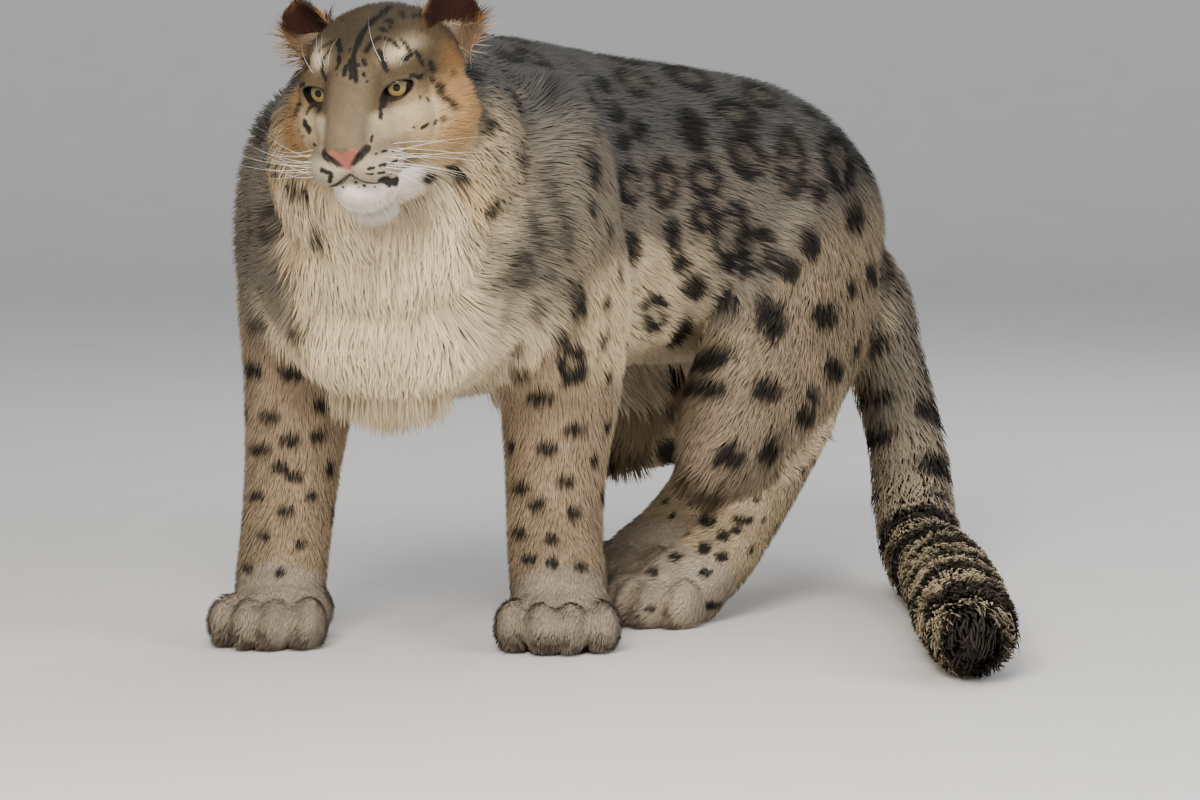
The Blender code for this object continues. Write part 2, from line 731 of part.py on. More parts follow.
def lock(root, out, lie, length, width, rise, draw):
    """A flat tapered lock that leaves the surface, bends along the coat's lie and ends in a point."""
    bm = bmesh.new()
    lie = (lie - out * lie.dot(out)).normalized()
    side = lie.cross(out)
    sway = draw.uniform(-1.0, 1.0) * LOCK_SWAY * length
    length *= draw.uniform(0.88, 1.12)

    def centre(along, height):
        return root + lie * (length * along) + out * (rise * height) + side * (sway * along * abs(along))

    rings = []
    for along, wide, thick, height in LOCK_RINGS:
        middle = centre(along, height)
        across = side * (width * wide / 2)
        ridge = out * (width * thick * LOCK_THICKNESS)
        rings.append([bm.verts.new(middle + step) for step in (across, ridge, -across)])
    tip = bm.verts.new(centre(1.0, LOCK_TIP))
    bm.faces.new(rings[0])
    for low, high in zip(rings, rings[1:]):
        for k in range(3):
            bm.faces.new((low[k], low[k - 2], high[k - 2], high[k]))
    for k in range(3):
        bm.faces.new((rings[-1][k], rings[-1][k - 2], tip))
    bmesh.ops.recalc_face_normals(bm, faces=bm.faces)
    bmesh.ops.triangulate(bm, faces=bm.faces)
    return new_object("lock", bm)


def root_on(tree, start, way):
    """Where a ray from inside leaves the surface, and the way out there."""
    spot, normal, _, _ = tree.ray_cast(start, way)
    return spot, (normal + way).normalized()


def bib_locks(tree, draw):
    """Rows that hang down the front of the chest."""
    made = []
    for height, length, width, rise, count, fan in BIB_ROWS:
        for k in range(count):
            angle = math.radians(fan * (2.0 * k / (count - 1) - 1.0)) + CHEST_TURN
            way = Vector((math.sin(angle), -math.cos(angle), 0.0))
            root, out = root_on(tree, Vector((*BIB_AXIS, height)), way)
            made.append(lock(root, out, Vector((0.0, 0.10, -1.0)), length, width, rise, draw))
    return made


def ruff_locks(tree, draw):
    """Rows round the neck that lie back and down."""
    made = []
    path = spline(NECK)
    for place, length, width, rise, count, fan in RUFF_ROWS:
        index = int(place * (len(path) - 1))
        middle = Vector(path[index][:3])
        back = (Vector(path[index - 1][:3]) - middle).normalized()
        down = (Vector((0.0, 0.0, -1.0)) - back * -back.z).normalized()
        for k in range(count):
            angle = math.radians(fan * (2.0 * k / (count - 1) - 1.0))
            way = Matrix.Rotation(angle, 3, back) @ down
            root, out = root_on(tree, middle, way)
            lie = back + Vector((0.0, 0.0, -0.9))
            made.append(lock(root, out, lie, length, width, rise, draw))
    return made


def cheek_locks(tree, draw):
    """The ruff that sweeps back from behind the cheeks."""
    made = []
    frame = head_frame()
    for forward, degrees in CHEEK_LOCKS:
        for side in (1, -1):
            angle = math.radians(degrees)
            way = frame.to_3x3() @ Vector((0.0, math.sin(angle) * side, -math.cos(angle)))
            root, out = root_on(tree, frame @ Vector((forward, 0.0, -0.010)), way)
            lie = frame.to_3x3() @ Vector((-1.0, 0.25 * side, -0.75))
            made.append(lock(root, out, lie, CHEEK_LENGTH, CHEEK_WIDTH, CHEEK_RISE, draw))
    return made


def belly_locks(tree, draw):
    """Fringes that hang along the belly."""
    made = []
    path = spline(TRUNK)
    low, high = BELLY_SPAN
    for k in range(BELLY_COUNT):
        along = low + (high - low) * k / (BELLY_COUNT - 1)
        middle = Vector(min(path, key=lambda row: abs(row[1] - along))[:3])
        for fan in BELLY_FANS:
            angle = math.radians(fan)
            way = Vector((math.sin(angle), 0.0, -math.cos(angle)))
            root, out = root_on(tree, middle, way)
            lie = Vector((0.15 * math.sin(angle), 0.75, -0.70))
            made.append(lock(root, out, lie, *BELLY_LOCK, draw))
    return made


def tail_locks(tree, draw):
    """Rings of overlapping locks from the root of the tail to its tip."""
    made = []
    path = [Vector(row[:3]) for row in spline(TAIL)]
    run = 0.0
    due = TAIL_START
    ring = 0
    side = Vector((1.0, 0.0, 0.0))
    for here, there in zip(path, path[1:]):
        ahead = (there - here).normalized()
        side = (side - ahead * side.dot(ahead)).normalized()
        run += (there - here).length
        if run < due:
            continue
        due += TAIL_STEP
        ring += 1
        for k in range(TAIL_AROUND):
            angle = 2.0 * math.pi * (k + 0.5 * (ring % 2)) / TAIL_AROUND
            way = Matrix.Rotation(angle, 3, ahead) @ side
            root, out = root_on(tree, there, way)
            made.append(lock(root, out, ahead - way * TAIL_CLOSING, *TAIL_LOCK, draw))
    return made


def fuse(body, locks, solver="EXACT"):
    """Joins locks to the body in one union, and takes the separate ones away."""
    group = bpy.data.collections.new("locks")
    for piece in locks:
        group.objects.link(piece)
    union = body.modifiers.new("fuse", "BOOLEAN")
    union.operation = "UNION"
    union.solver = solver
    union.operand_type = "COLLECTION"
    union.collection = group
    bpy.context.scene.collection.children.link(group)
    apply_modifiers(body)
    remove(*locks)
    bpy.data.collections.remove(group)
    keep_largest(body)


def make_head():
    """The head with its eyes' sockets, lids, nostrils and mouth, and the eyes and ears."""
    head = skinned("head", add_front, HEAD_VOXEL, HEAD_SMOOTHING, HEAD_TRIANGLES, head_softness)
    fuse(head, cheek_locks(surface_of(head), random.Random(5)))
    frame = head_frame()
    way = (frame.to_3x3() @ HEAD_CUT[1]).normalized()
    trim(head, frame @ HEAD_CUT[0] + way * GAP / 2, -way)
    cutters = []
    for side in (1, -1):
        cutters.append(eyeball("socket", side, EYE_RADIUS + GAP))
        cutters.append(lid_opening(side))
        cutters.append(nostril_cutter(side))
    corner_to_middle = [(x, -y, z) for x, y, z in reversed(MOUTH_LINE)]
    grooves = [groove_cutter(head, corner_to_middle + MOUTH_LINE[1:]), groove_cutter(head, PHILTRUM)]
    for cutter in cutters:
        combine(head, cutter, "DIFFERENCE")
    for cutter in grooves:
        combine(head, cutter, "DIFFERENCE", "MANIFOLD")
    remove(*cutters, *grooves)
    keep_largest(head)
    pieces = {"head": head}
    for name, side in (("left", 1), ("right", -1)):
        pieces["eye_" + name] = eyeball("eye_" + name, side, EYE_RADIUS)
        pieces["ear_" + name] = make_ear("ear_" + name, side, head)
    return pieces


def make_body():
    """The trunk, neck, legs and tail, parted."""
    body = skinned("body", add_body, BODY_VOXEL, BODY_SMOOTHING, BODY_TRIANGLES, body_softness)
    tree = surface_of(body)
    draw = random.Random(3)
    locks = cheek_locks(tree, random.Random(5))
    for grow in (bib_locks, ruff_locks, belly_locks, tail_locks):
        locks += grow(tree, draw)
    fuse(body, locks)
    trim(body, (0.0, 0.0, 0.0), Vector((0.0, 0.0, -1.0)))
    pieces = {}
    for name, stations in LIMBS.items():
        pieces[name] = carve(body, name, stations)
    for name, point in LOOSE.items():
        pieces[name] = nearest_shell(body, point, name)
    remove(body)
    for name, beyond, point, way in CUTS:
        pieces[beyond] = halve(pieces[name], point, way, beyond)
    frame = head_frame()
    way = (frame.to_3x3() @ HEAD_CUT[1]).normalized()
    trim(pieces["neck"], frame @ HEAD_CUT[0] - way * GAP / 2, way)
    return pieces


def main():
    for old in list(bpy.data.objects):
        bpy.data.objects.remove(old)
    pieces = {**make_body(), **make_head()}
    clear = grown(pieces["neck"], "clear", GAP)
    for name in ("ear_left", "ear_right"):
        combine(pieces[name], clear, "DIFFERENCE")
        keep_largest(pieces[name])
    remove(clear)
    for name, piece in pieces.items():
        for vertex in piece.data.vertices:
            vertex.co -= ORIGIN
        piece.name = name
        piece.data.materials.clear()
        piece.data.materials.append(coat_material(name + "_coat", COLOURS.get(name, "cream")))
        piece.data.shade_smooth()


main()
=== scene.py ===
# %% [markdown]
# A snow leopard, life-size and standing still. The frame brings the animal's plain solids, one for each
# part of the body. This script dresses them: one smooth skin with the face's folds, eyes, nose and
# whiskers, and a coat of many small tapered tufts that carries the cat's rosettes.

# %% Load the frame
import json
import math

import bmesh
import bpy
import numpy as np
from mathutils import Matrix, Vector
from mathutils.bvhtree import BVHTree

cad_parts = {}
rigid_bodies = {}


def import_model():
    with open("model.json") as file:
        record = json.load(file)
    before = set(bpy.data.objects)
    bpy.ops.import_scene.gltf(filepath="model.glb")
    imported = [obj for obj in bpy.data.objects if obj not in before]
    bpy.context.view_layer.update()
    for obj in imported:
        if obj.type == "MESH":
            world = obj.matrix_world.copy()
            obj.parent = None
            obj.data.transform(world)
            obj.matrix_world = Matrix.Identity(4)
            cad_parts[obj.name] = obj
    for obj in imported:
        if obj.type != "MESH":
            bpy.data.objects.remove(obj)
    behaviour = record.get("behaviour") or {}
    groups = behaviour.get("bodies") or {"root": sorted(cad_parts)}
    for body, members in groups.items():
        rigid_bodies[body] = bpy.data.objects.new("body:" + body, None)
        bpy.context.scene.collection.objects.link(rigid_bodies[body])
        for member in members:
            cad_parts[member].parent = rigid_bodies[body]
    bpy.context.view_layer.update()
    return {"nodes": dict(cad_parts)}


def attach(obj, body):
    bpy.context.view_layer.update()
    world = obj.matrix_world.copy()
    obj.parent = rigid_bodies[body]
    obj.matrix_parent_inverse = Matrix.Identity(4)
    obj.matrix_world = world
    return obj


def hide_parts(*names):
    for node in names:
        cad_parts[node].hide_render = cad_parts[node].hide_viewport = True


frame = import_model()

print("nodes:", len(frame["nodes"]))

# %% [markdown]
# The camera stands where the photographer stood: low, far away and a third of a turn round to the
# animal's left. A long lens keeps the body from swelling towards the viewer. It aims a little past the
# animal instead of shifting the lens, so that the picture's framing holds.

# %% Camera
VIEW_TURN = math.radians(31.0)
VIEW_RISE = math.radians(4.5)
VIEW_DISTANCE = 5.4
VIEW_POINT = Vector((-0.163, -0.1565, 0.30))
VIEW_POINT_PIXEL = (480.0, 320.0)
PICTURE = (1200.0, 800.0)
FOCAL_PIXELS = 5806.0
SENSOR = 36.0

back = Vector((math.sin(VIEW_TURN) * math.cos(VIEW_RISE), -math.cos(VIEW_TURN) * math.cos(VIEW_RISE),
               math.sin(VIEW_RISE)))
right = Vector((math.cos(VIEW_TURN), math.sin(VIEW_TURN), 0.0))
up = back.cross(right)
aside = (PICTURE[0] / 2 - VIEW_POINT_PIXEL[0]) / FOCAL_PIXELS
below = (PICTURE[1] / 2 - VIEW_POINT_PIXEL[1]) / FOCAL_PIXELS
aim = -back + right * aside - up * below
camera_data = bpy.data.cameras.new("camera")
camera_data.sensor_width = SENSOR
camera_data.lens = SENSOR * FOCAL_PIXELS / PICTURE[0]
camera = bpy.data.objects.new("camera", camera_data)
camera.location = VIEW_POINT + back * VIEW_DISTANCE
camera.rotation_euler = aim.to_track_quat("-Z", "Y").to_euler()
bpy.context.scene.collection.objects.link(camera)
bpy.context.scene.camera = camera
print("camera at", [round(v, 3) for v in camera.location], "lens", round(camera_data.lens, 1))

# %% [markdown]
# Two small classes keep the materials short to write. One wraps a node's socket, so that a formula such as
# "hairs * (1 - bare)" adds the Math nodes by itself. The other holds a material and its shader.

# %% Small helpers for meshes and materials
def new_object(name, mesh):
    """An object of a mesh, in the scene."""
    piece = bpy.data.objects.new(name, mesh)
    bpy.context.scene.collection.objects.link(piece)
    return piece


def from_bmesh(name, bm):
    """An object from a bmesh, which is freed."""
    mesh = bpy.data.meshes.new(name)
    bm.to_mesh(mesh)
    bm.free()
    return new_object(name, mesh)


class Maths:
    """A socket that Python's operators can reach: an expression on values adds its Math nodes."""

    def __init__(self, tree, socket):
        self.tree = tree
        self.socket = socket

    def join(self, operation, *values):
        """A Math node on numbers and sockets."""
        node = self.tree.nodes.new("ShaderNodeMath")
        node.operation = operation
        for slot, value in enumerate(values):
            if isinstance(value, Maths):
                self.tree.links.new(value.socket, node.inputs[slot])
            else:
                node.inputs[slot].default_value = value
        return Maths(self.tree, node.outputs[0])

    def __add__(self, other):
        return self.join("ADD", self, other)

    def __mul__(self, other):
        return self.join("MULTIPLY", self, other)

    def __rsub__(self, other):
        return self.join("SUBTRACT", other, self)

    def step(self, low, high):
        """0 below the low value, 1 above the high one, and a soft ramp between."""
        node = self.tree.nodes.new("ShaderNodeMapRange")
        node.interpolation_type = "SMOOTHSTEP"
        self.tree.links.new(self.socket, node.inputs["Value"])
        node.inputs["From Min"].default_value = low
        node.inputs["From Max"].default_value = high
        return Maths(self.tree, node.outputs["Result"])


class Finish:
    """A material: its Principled shader and a short way to add any other node."""

    def __init__(self, name, **constants):
        self.material = bpy.data.materials.new(name)
        self.material.use_nodes = True
        self.tree = self.material.node_tree
        self.shader = self.tree.nodes["Principled BSDF"]
        for socket, value in constants.items():
            self.shader.inputs[socket.replace("_", " ")].default_value = value

    def node(self, kind, settings=None, output=0, **values):
        """Adds a node: its settings first, then a value or a link for each socket that is named."""
        node = self.tree.nodes.new("ShaderNode" + kind)
        for setting, value in (settings or {}).items():
            setattr(node, setting, value)
        for socket, value in values.items():
            self.set(node, socket.replace("_", " "), value)
        return Maths(self.tree, node.outputs[output])

    def set(self, node, socket, value):
        """Gives a socket a value or a link. A name such as i6 stands for the socket with that number."""
        numbered = socket[0] == "i" and socket[1:].isdigit()
        slot = node.inputs[int(socket[1:]) if numbered else socket]
        if isinstance(value, Maths):
            self.tree.links.new(value.socket, slot)
        else:
            slot.default_value = value

    def mix(self, factor, first, second, way="MIX"):
        """A Mix node on two colours."""
        settings = {"data_type": "RGBA", "blend_type": way, "clamp_factor": True}
        return self.node("Mix", settings, output=2, i0=factor, i6=first, i7=second)

    def attribute(self, name, output="Fac"):
        """What is stored on the mesh under a name."""
        node = self.tree.nodes.new("ShaderNodeAttribute")
        node.attribute_name = name
        return Maths(self.tree, node.outputs[output])

    def place(self):
        """The point on the piece, in metres."""
        node = self.tree.nodes.new("ShaderNodeTexCoord")
        return Maths(self.tree, node.outputs["Object"])

    def link(self, **sockets):
        """Links nodes to the shader's sockets."""
        for socket, value in sockets.items():
            self.tree.links.new(value.socket, self.shader.inputs[socket.replace("_", " ")])
        return self.material

    def bump(self, height, strength, distance):
        """The shader's normal, roughened by a height."""
        return self.node("Bump", None, Strength=strength, Distance=distance, Height=height)


# %% [markdown]
# Fur reads best in soft light from several sides: a large lamp high in front, a weaker one from behind
# that catches the tips of the coat, and a pale sky that fills the shadows. The floor sweeps up into a
# low backdrop, so that no horizon line cuts behind the animal, and it doesn't hide it from behind.

# %% Studio
FLOOR_HALF = 9.0
FLOOR_BACK = 4.5
SWEEP_RADIUS = 2.0
SWEEP_TURN = math.radians(60.0)  # it ends 1 m up: a view from behind passes over it
SWEEP_STEPS = 16
FLOOR_SINK = 0.0004  # below the soles, so that the two faces don't fight

profile = [(-FLOOR_HALF, 0.0), (FLOOR_BACK, 0.0)]
for k in range(1, SWEEP_STEPS + 1):
    angle = SWEEP_TURN * k / SWEEP_STEPS
    profile.append((FLOOR_BACK + SWEEP_RADIUS * math.sin(angle), SWEEP_RADIUS * (1 - math.cos(angle))))
bm = bmesh.new()
rows = []
for away, high in profile:
    middle = -back * away
    middle.z = high - FLOOR_SINK
    rows.append([bm.verts.new(middle + right * side) for side in (-FLOOR_HALF, FLOOR_HALF)])
for low, high in zip(rows, rows[1:]):
    bm.faces.new((low[0], low[1], high[1], high[0]))
floor = from_bmesh("floor", bm)
floor.data.shade_smooth()
paper = Finish("studio_paper", Roughness=0.85)
grain = paper.node("TexNoise", None, Vector=paper.place(), Scale=14.0, Detail=4.0)
pale = paper.mix(grain, (0.70, 0.69, 0.67, 1.0), (0.76, 0.75, 0.73, 1.0))
floor.data.materials.append(paper.link(Base_Color=pale))


LAMP_TARGET = Vector((0.0, 0.0, 0.28))
SKY_COLOUR = (0.93, 0.95, 1.0, 1.0)
SKY_STRENGTH = 0.46


def lamp(name, place, size, power, colour=(1.0, 1.0, 1.0)):
    """A square soft lamp that shines on the animal's middle."""
    data = bpy.data.lights.new(name, "AREA")
    data.shape = "SQUARE"
    data.size = size
    data.energy = power
    data.color = colour
    light = bpy.data.objects.new(name, data)
    light.location = place
    light.rotation_euler = (LAMP_TARGET - light.location).to_track_quat("-Z", "Y").to_euler()
    bpy.context.scene.collection.objects.link(light)


lamp("key_lamp", back * 2.7 - right * 0.6 + Vector((0, 0, 1.7)), 1.3, 125.0, (1.0, 0.95, 0.88))
lamp("fill_lamp", back * 1.8 + right * 2.4 + Vector((0, 0, 1.2)), 2.0, 62.0, (0.95, 0.97, 1.0))
lamp("rim_lamp", -back * 2.0 + right * 0.8 + Vector((0, 0, 2.4)), 1.4, 24.0)
world = bpy.data.worlds.new("sky")
bpy.context.scene.world = world
world.use_nodes = True
sky = world.node_tree.nodes["Background"]
sky.inputs["Color"].default_value = SKY_COLOUR
sky.inputs["Strength"].default_value = SKY_STRENGTH
print("floor and lamps are up")

# %% [markdown]
# The body's form is a list of tubes and rounded masses, as a sculptor builds up clay on a wire. Each
# station of a tube gives its centre and its half width and depth at the tips of the short coat. The hide
# lies deeper, so every tube also says how deep the coat is at its two ends. Building the hide from the
# same measures keeps it inside the frame's solids everywhere.

# %% The body's tubes
ORIGIN = Vector((0.163, 0.1565, 0.0))  # the frame's origin, in the frame that the stations are measured in
TUBES = {
    "trunk": (0.012, 0.012, [
        (0.004, -0.200, 0.340, 0.070, 0.080),
        (-0.012, -0.150, 0.360, 0.124, 0.140),
        (-0.040, -0.050, 0.395, 0.152, 0.170),
        (-0.056, 0.100, 0.396, 0.150, 0.170),
        (-0.045, 0.250, 0.390, 0.142, 0.157),
        (-0.010, 0.390, 0.380, 0.136, 0.148),
        (0.018, 0.490, 0.365, 0.128, 0.142),
        (0.046, 0.570, 0.335, 0.092, 0.112),
        (0.058, 0.615, 0.315, 0.050, 0.070),
    ]),
    "neck": (0.016, 0.013, [
        (-0.040, -0.030, 0.440, 0.120, 0.115),
        (-0.012, -0.120, 0.455, 0.120, 0.122),
        (0.015, -0.195, 0.472, 0.104, 0.112),
        (0.035, -0.240, 0.490, 0.084, 0.088),
    ]),
    "tail": (0.016, 0.006, [
        (0.055, 0.590, 0.345, 0.058, 0.062),
        (0.072, 0.640, 0.295, 0.046, 0.048),
        (0.090, 0.654, 0.215, 0.042, 0.042),
        (0.124, 0.632, 0.140, 0.040, 0.040),
        (0.168, 0.565, 0.080, 0.038, 0.038),
        (0.228, 0.470, 0.046, 0.037, 0.037),
        (0.308, 0.350, 0.043, 0.037, 0.037),
        (0.382, 0.224, 0.043, 0.037, 0.037),
        (0.447, 0.108, 0.043, 0.036, 0.036),
        (0.495, 0.028, 0.041, 0.032, 0.032),
        (0.515, -0.008, 0.038, 0.022, 0.024),
        (0.521, -0.022, 0.036, 0.012, 0.014),
    ]),
    "foreleg_left": (0.010, 0.005, [
        (0.062, 0.000, 0.410, 0.066, 0.100),
        (0.068, 0.022, 0.320, 0.068, 0.092),
        (0.058, 0.050, 0.245, 0.060, 0.070),
        (0.054, 0.048, 0.170, 0.052, 0.055),
        (0.062, 0.032, 0.100, 0.048, 0.049),
        (0.073, 0.020, 0.055, 0.048, 0.048),
    ]),
    "foreleg_right": (0.010, 0.005, [
        (-0.142, -0.050, 0.410, 0.064, 0.100),
        (-0.158, -0.040, 0.320, 0.066, 0.090),
        (-0.176, -0.032, 0.245, 0.056, 0.068),
        (-0.177, -0.045, 0.170, 0.049, 0.054),
        (-0.170, -0.070, 0.100, 0.045, 0.048),
        (-0.166, -0.086, 0.055, 0.045, 0.046),
    ]),
    "thigh_left": (0.012, 0.009, [
        (0.064, 0.510, 0.400, 0.072, 0.118),
        (0.090, 0.455, 0.320, 0.076, 0.130),
        (0.108, 0.372, 0.240, 0.068, 0.100),
        (0.108, 0.300, 0.180, 0.058, 0.072),
        (0.104, 0.270, 0.158, 0.048, 0.057),
    ]),
    "thigh_right": (0.012, 0.009, [
        (-0.036, 0.520, 0.400, 0.072, 0.118),
        (-0.068, 0.480, 0.320, 0.072, 0.125),
        (-0.078, 0.430, 0.240, 0.062, 0.096),
        (-0.072, 0.390, 0.190, 0.054, 0.070),
        (-0.068, 0.370, 0.170, 0.046, 0.056),
    ]),
    "shank_left": (0.012, 0.009, [
        (0.104, 0.285, 0.165, 0.052, 0.062),
        (0.114, 0.350, 0.172, 0.052, 0.062),
        (0.124, 0.405, 0.190, 0.040, 0.048),
    ]),
    "shank_right": (0.012, 0.009, [
        (-0.070, 0.385, 0.175, 0.050, 0.060),
        (-0.058, 0.460, 0.172, 0.050, 0.058),
        (-0.044, 0.530, 0.172, 0.038, 0.046),
    ]),
    "hind_foot_left": (0.007, 0.006, [
        (0.133, 0.444, 0.236, 0.024, 0.024),
        (0.130, 0.424, 0.206, 0.034, 0.036),
        (0.123, 0.370, 0.152, 0.038, 0.040),
        (0.115, 0.312, 0.098, 0.039, 0.040),
        (0.107, 0.255, 0.055, 0.043, 0.039),
        (0.101, 0.228, 0.042, 0.045, 0.038),
    ]),
    "hind_foot_right": (0.007, 0.006, [
        (-0.030, 0.582, 0.208, 0.024, 0.024),
        (-0.034, 0.568, 0.180, 0.033, 0.035),
        (-0.040, 0.535, 0.130, 0.037, 0.040),
        (-0.045, 0.500, 0.085, 0.038, 0.038),
        (-0.050, 0.460, 0.052, 0.043, 0.039),
        (-0.053, 0.440, 0.042, 0.045, 0.038),
    ]),
}
# Each paw: middle of the toes' row on the floor, heading in degrees towards the animal's left, half width
PAWS = {
    "front_left": ((0.092, -0.012), 26.0, 0.055),
    "front_right": ((-0.152, -0.118), 14.0, 0.053),
    "hind_left": ((0.091, 0.196), -10.0, 0.048),
    "hind_right": ((-0.060, 0.410), -6.0, 0.047),
}
TOE_FAN = math.radians(9.0)
PAW_COAT = 0.004
# Muscles and the hide under the long fur: coat depth, centre, half sizes, and a turn about z in degrees
MASSES = [
    (0.010, (0.070, -0.005, 0.395), (0.070, 0.100, 0.140), 10.0),
    (0.010, (-0.150, -0.052, 0.385), (0.068, 0.100, 0.140), 10.0),
    (0.010, (-0.004, -0.155, 0.330), (0.106, 0.068, 0.090), 10.0),
    (0.010, (0.012, -0.188, 0.400), (0.090, 0.062, 0.082), 10.0),
    (0.010, (-0.045, 0.000, 0.290), (0.098, 0.118, 0.054), 0.0),
    (0.010, (-0.030, 0.220, 0.295), (0.106, 0.168, 0.054), 0.0),
    (0.012, (0.066, 0.475, 0.360), (0.082, 0.120, 0.120), -19.0),
    (0.012, (-0.048, 0.505, 0.360), (0.080, 0.115, 0.120), -19.0),
    (0.012, (-0.045, 0.020, 0.490), (0.085, 0.150, 0.078), 0.0),
]
print(len(TUBES), "tubes and", len(MASSES), "masses")

# %% [markdown]
# The head has a frame of its own, whose first axis looks forward, second to the animal's left and third
# up, with its zero midway between the eyes. Everything on the face is measured there, so turning the head
# needs only three angles.

# %% The head's masses
EYES_MIDDLE = Vector((0.0707, -0.3193, 0.5275))
FACE_TURN = math.radians(16.0)
FACE_PITCH = math.radians(-10.0)
FACE_ROLL = math.radians(5.0)
EYE_OFFSET = Vector((-0.0060, 0.0325, 0.0))
EYE_RADIUS = 0.0165
EYE_OUTWARD = math.radians(12.0)
LID_WIDTH = 0.0240
LID_HEIGHT = 0.0150
LID_SHIFT = 0.0015
LID_UPPER = 0.74  # the upper lid hangs lower than a round opening
LID_SLANT = math.radians(14.0)
EAR_BASE = Vector((-0.082, 0.058, 0.024))
EAR_HEIGHT = 0.058
EAR_WIDTH = 0.058
EAR_THICKNESS = 0.0042
EAR_LEAN = math.radians(24.0)  # outwards
EAR_OPENING = math.radians(24.0)  # how far its hollow turns to the side
EAR_CUP = 0.020  # how deep the hollow is at its foot
EAR_SINK = 0.012  # how far its foot is in the head
# Coat depth, centre, half sizes; one with a left offset is mirrored
HEAD_MASSES = [
    (0.005, (-0.070, 0.000, 0.000), (0.080, 0.072, 0.060)),
    (0.003, (-0.030, 0.000, 0.006), (0.050, 0.058, 0.044)),
    (0.009, (-0.050, 0.042, -0.036), (0.056, 0.041, 0.052)),
    (0.003, (-0.008, 0.031, -0.030), (0.044, 0.031, 0.036)),
    (0.0015, (-0.007, 0.0345, 0.000), (0.0220, 0.0245, 0.0215)),
    (0.002, (0.012, 0.0220, -0.026), (0.034, 0.0200, 0.030)),
    (0.0015, (0.040, 0.018, -0.056), (0.038, 0.025, 0.022)),
    (0.004, (0.022, 0.000, -0.082), (0.040, 0.031, 0.022)),
    (0.010, (-0.034, 0.000, -0.076), (0.062, 0.054, 0.038)),
]
MUZZLE_COAT = 0.0015
MUZZLE = [
    (-0.014, 0.000, 0.006, 0.036, 0.036),
    (0.020, 0.000, -0.016, 0.030, 0.033),
    (0.048, 0.000, -0.036, 0.025, 0.025),
    (0.070, 0.000, -0.049, 0.021, 0.017),
]


def head_frame():
    """The head's place: its columns point forward, left and up."""
    turn = Matrix.Rotation(FACE_TURN, 4, "Z")
    base = Matrix(((0, 1, 0), (-1, 0, 0), (0, 0, 1))).to_4x4()
    pitch = Matrix.Rotation(-FACE_PITCH, 4, "Y")
    roll = Matrix.Rotation(FACE_ROLL, 4, "X")
    return Matrix.Translation(EYES_MIDDLE - ORIGIN) @ turn @ base @ pitch @ roll


HEAD = head_frame()
HEAD_TURN = HEAD.to_3x3().to_4x4()
print("eyes' middle", [round(v, 3) for v in HEAD.translation])

# %% [markdown]
# Three small makers turn the measures into closed shapes: a tube through its stations, an ellipsoid, and a
# cupped ear. They overlap freely. A voxel remesh then wraps them in one surface and a smoothing pass
# melts the creases, as a thumb does in clay. A subdivision cage would give cleaner loops, but it takes a
# day of hand work where this takes a second.

# %% Makers of closed shapes
RING_SIDES = 32


def spline(stations, steps=6):
    """Catmull-Rom through the stations, all their numbers alike."""
    rows = np.array(stations, float)
    ends = np.vstack([2 * rows[0] - rows[1], rows, 2 * rows[-1] - rows[-2]])
    out = []
    for a, b, c, d in zip(ends, ends[1:], ends[2:], ends[3:]):
        for t in np.linspace(0, 1, steps, endpoint=False):
            bend = (2 * a - 5 * b + 4 * c - d) * t**2 + (3 * b - a - 3 * c + d) * t**3
            out.append(0.5 * (2 * b + (c - a) * t + bend))
    return np.array(out + [rows[-1]])


def hide_rows(first, last, stations):
    """The stations of a tube in the frame, thinned by the coat."""
    rows = spline(stations)
    depth = np.linspace(first, last, len(rows))
    rows[:, :3] -= np.array(ORIGIN)
    rows[:, 3:] = np.maximum(rows[:, 3:] - depth[:, None], 0.008)
    return rows


def add_tube(bm, rows, sides=RING_SIDES, across=(1.0, 0.0, 0.0), place=None):
    """A closed tube of elliptical rings through the rows of x, y, z, half width, half height."""
    side = Vector(across)
    centres = [place @ Vector(row[:3]) if place else Vector(row[:3]) for row in rows]
    rings = []
    for i, row in enumerate(rows):
        ahead = (centres[min(i + 1, len(rows) - 1)] - centres[max(i - 1, 0)]).normalized()
        side = (side - ahead * side.dot(ahead)).normalized()
        rise = side.cross(ahead)
        ring = []
        for k in range(sides):
            angle = 2 * math.pi * k / sides
            reach = side * (row[3] * math.cos(angle)) + rise * (row[4] * math.sin(angle))
            ring.append(bm.verts.new(centres[i] + reach))
        rings.append(ring)
    for low, high in zip(rings, rings[1:]):
        for k in range(sides):
            j = (k + 1) % sides
            bm.faces.new((low[k], low[j], high[j], high[k]))
    bm.faces.new(list(reversed(rings[0])))
    bm.faces.new(rings[-1])


def add_mass(bm, centre, half, turn=None):
    """An ellipsoid, turned by a matrix about its centre."""
    place = Matrix.Translation(centre) @ (turn or Matrix.Identity(4)) @ Matrix.Diagonal((*half, 1.0))
    bmesh.ops.create_icosphere(bm, subdivisions=5, radius=1.0, matrix=place)


def add_paw(bm, place, heading, half_width):
    """A broad furred paw: the pad and four toes side by side."""
    turn = Matrix.Rotation(math.radians(heading), 4, "Z")
    middle = Vector((*place, 0.0)) - ORIGIN
    width = half_width - PAW_COAT
    pad = (width * 0.95, 0.050 - PAW_COAT, 0.040 - PAW_COAT)
    add_mass(bm, middle + turn @ Vector((0, 0.020, 0.031)), pad, turn)
    for slot in (-1.5, -0.5, 0.5, 1.5):
        fan = Matrix.Rotation(slot * TOE_FAN, 4, "Z")
        reach = 0.030 if abs(slot) < 1 else 0.014
        centre = middle + turn @ Vector((slot * half_width * 0.48, -reach, 0.0225))
        toe = (half_width * 0.34 - PAW_COAT / 2, 0.033 - PAW_COAT, 0.0270 - PAW_COAT / 2)
        add_mass(bm, centre, toe, turn @ fan)


EAR_COLUMNS = 14
EAR_LAYERS = 12


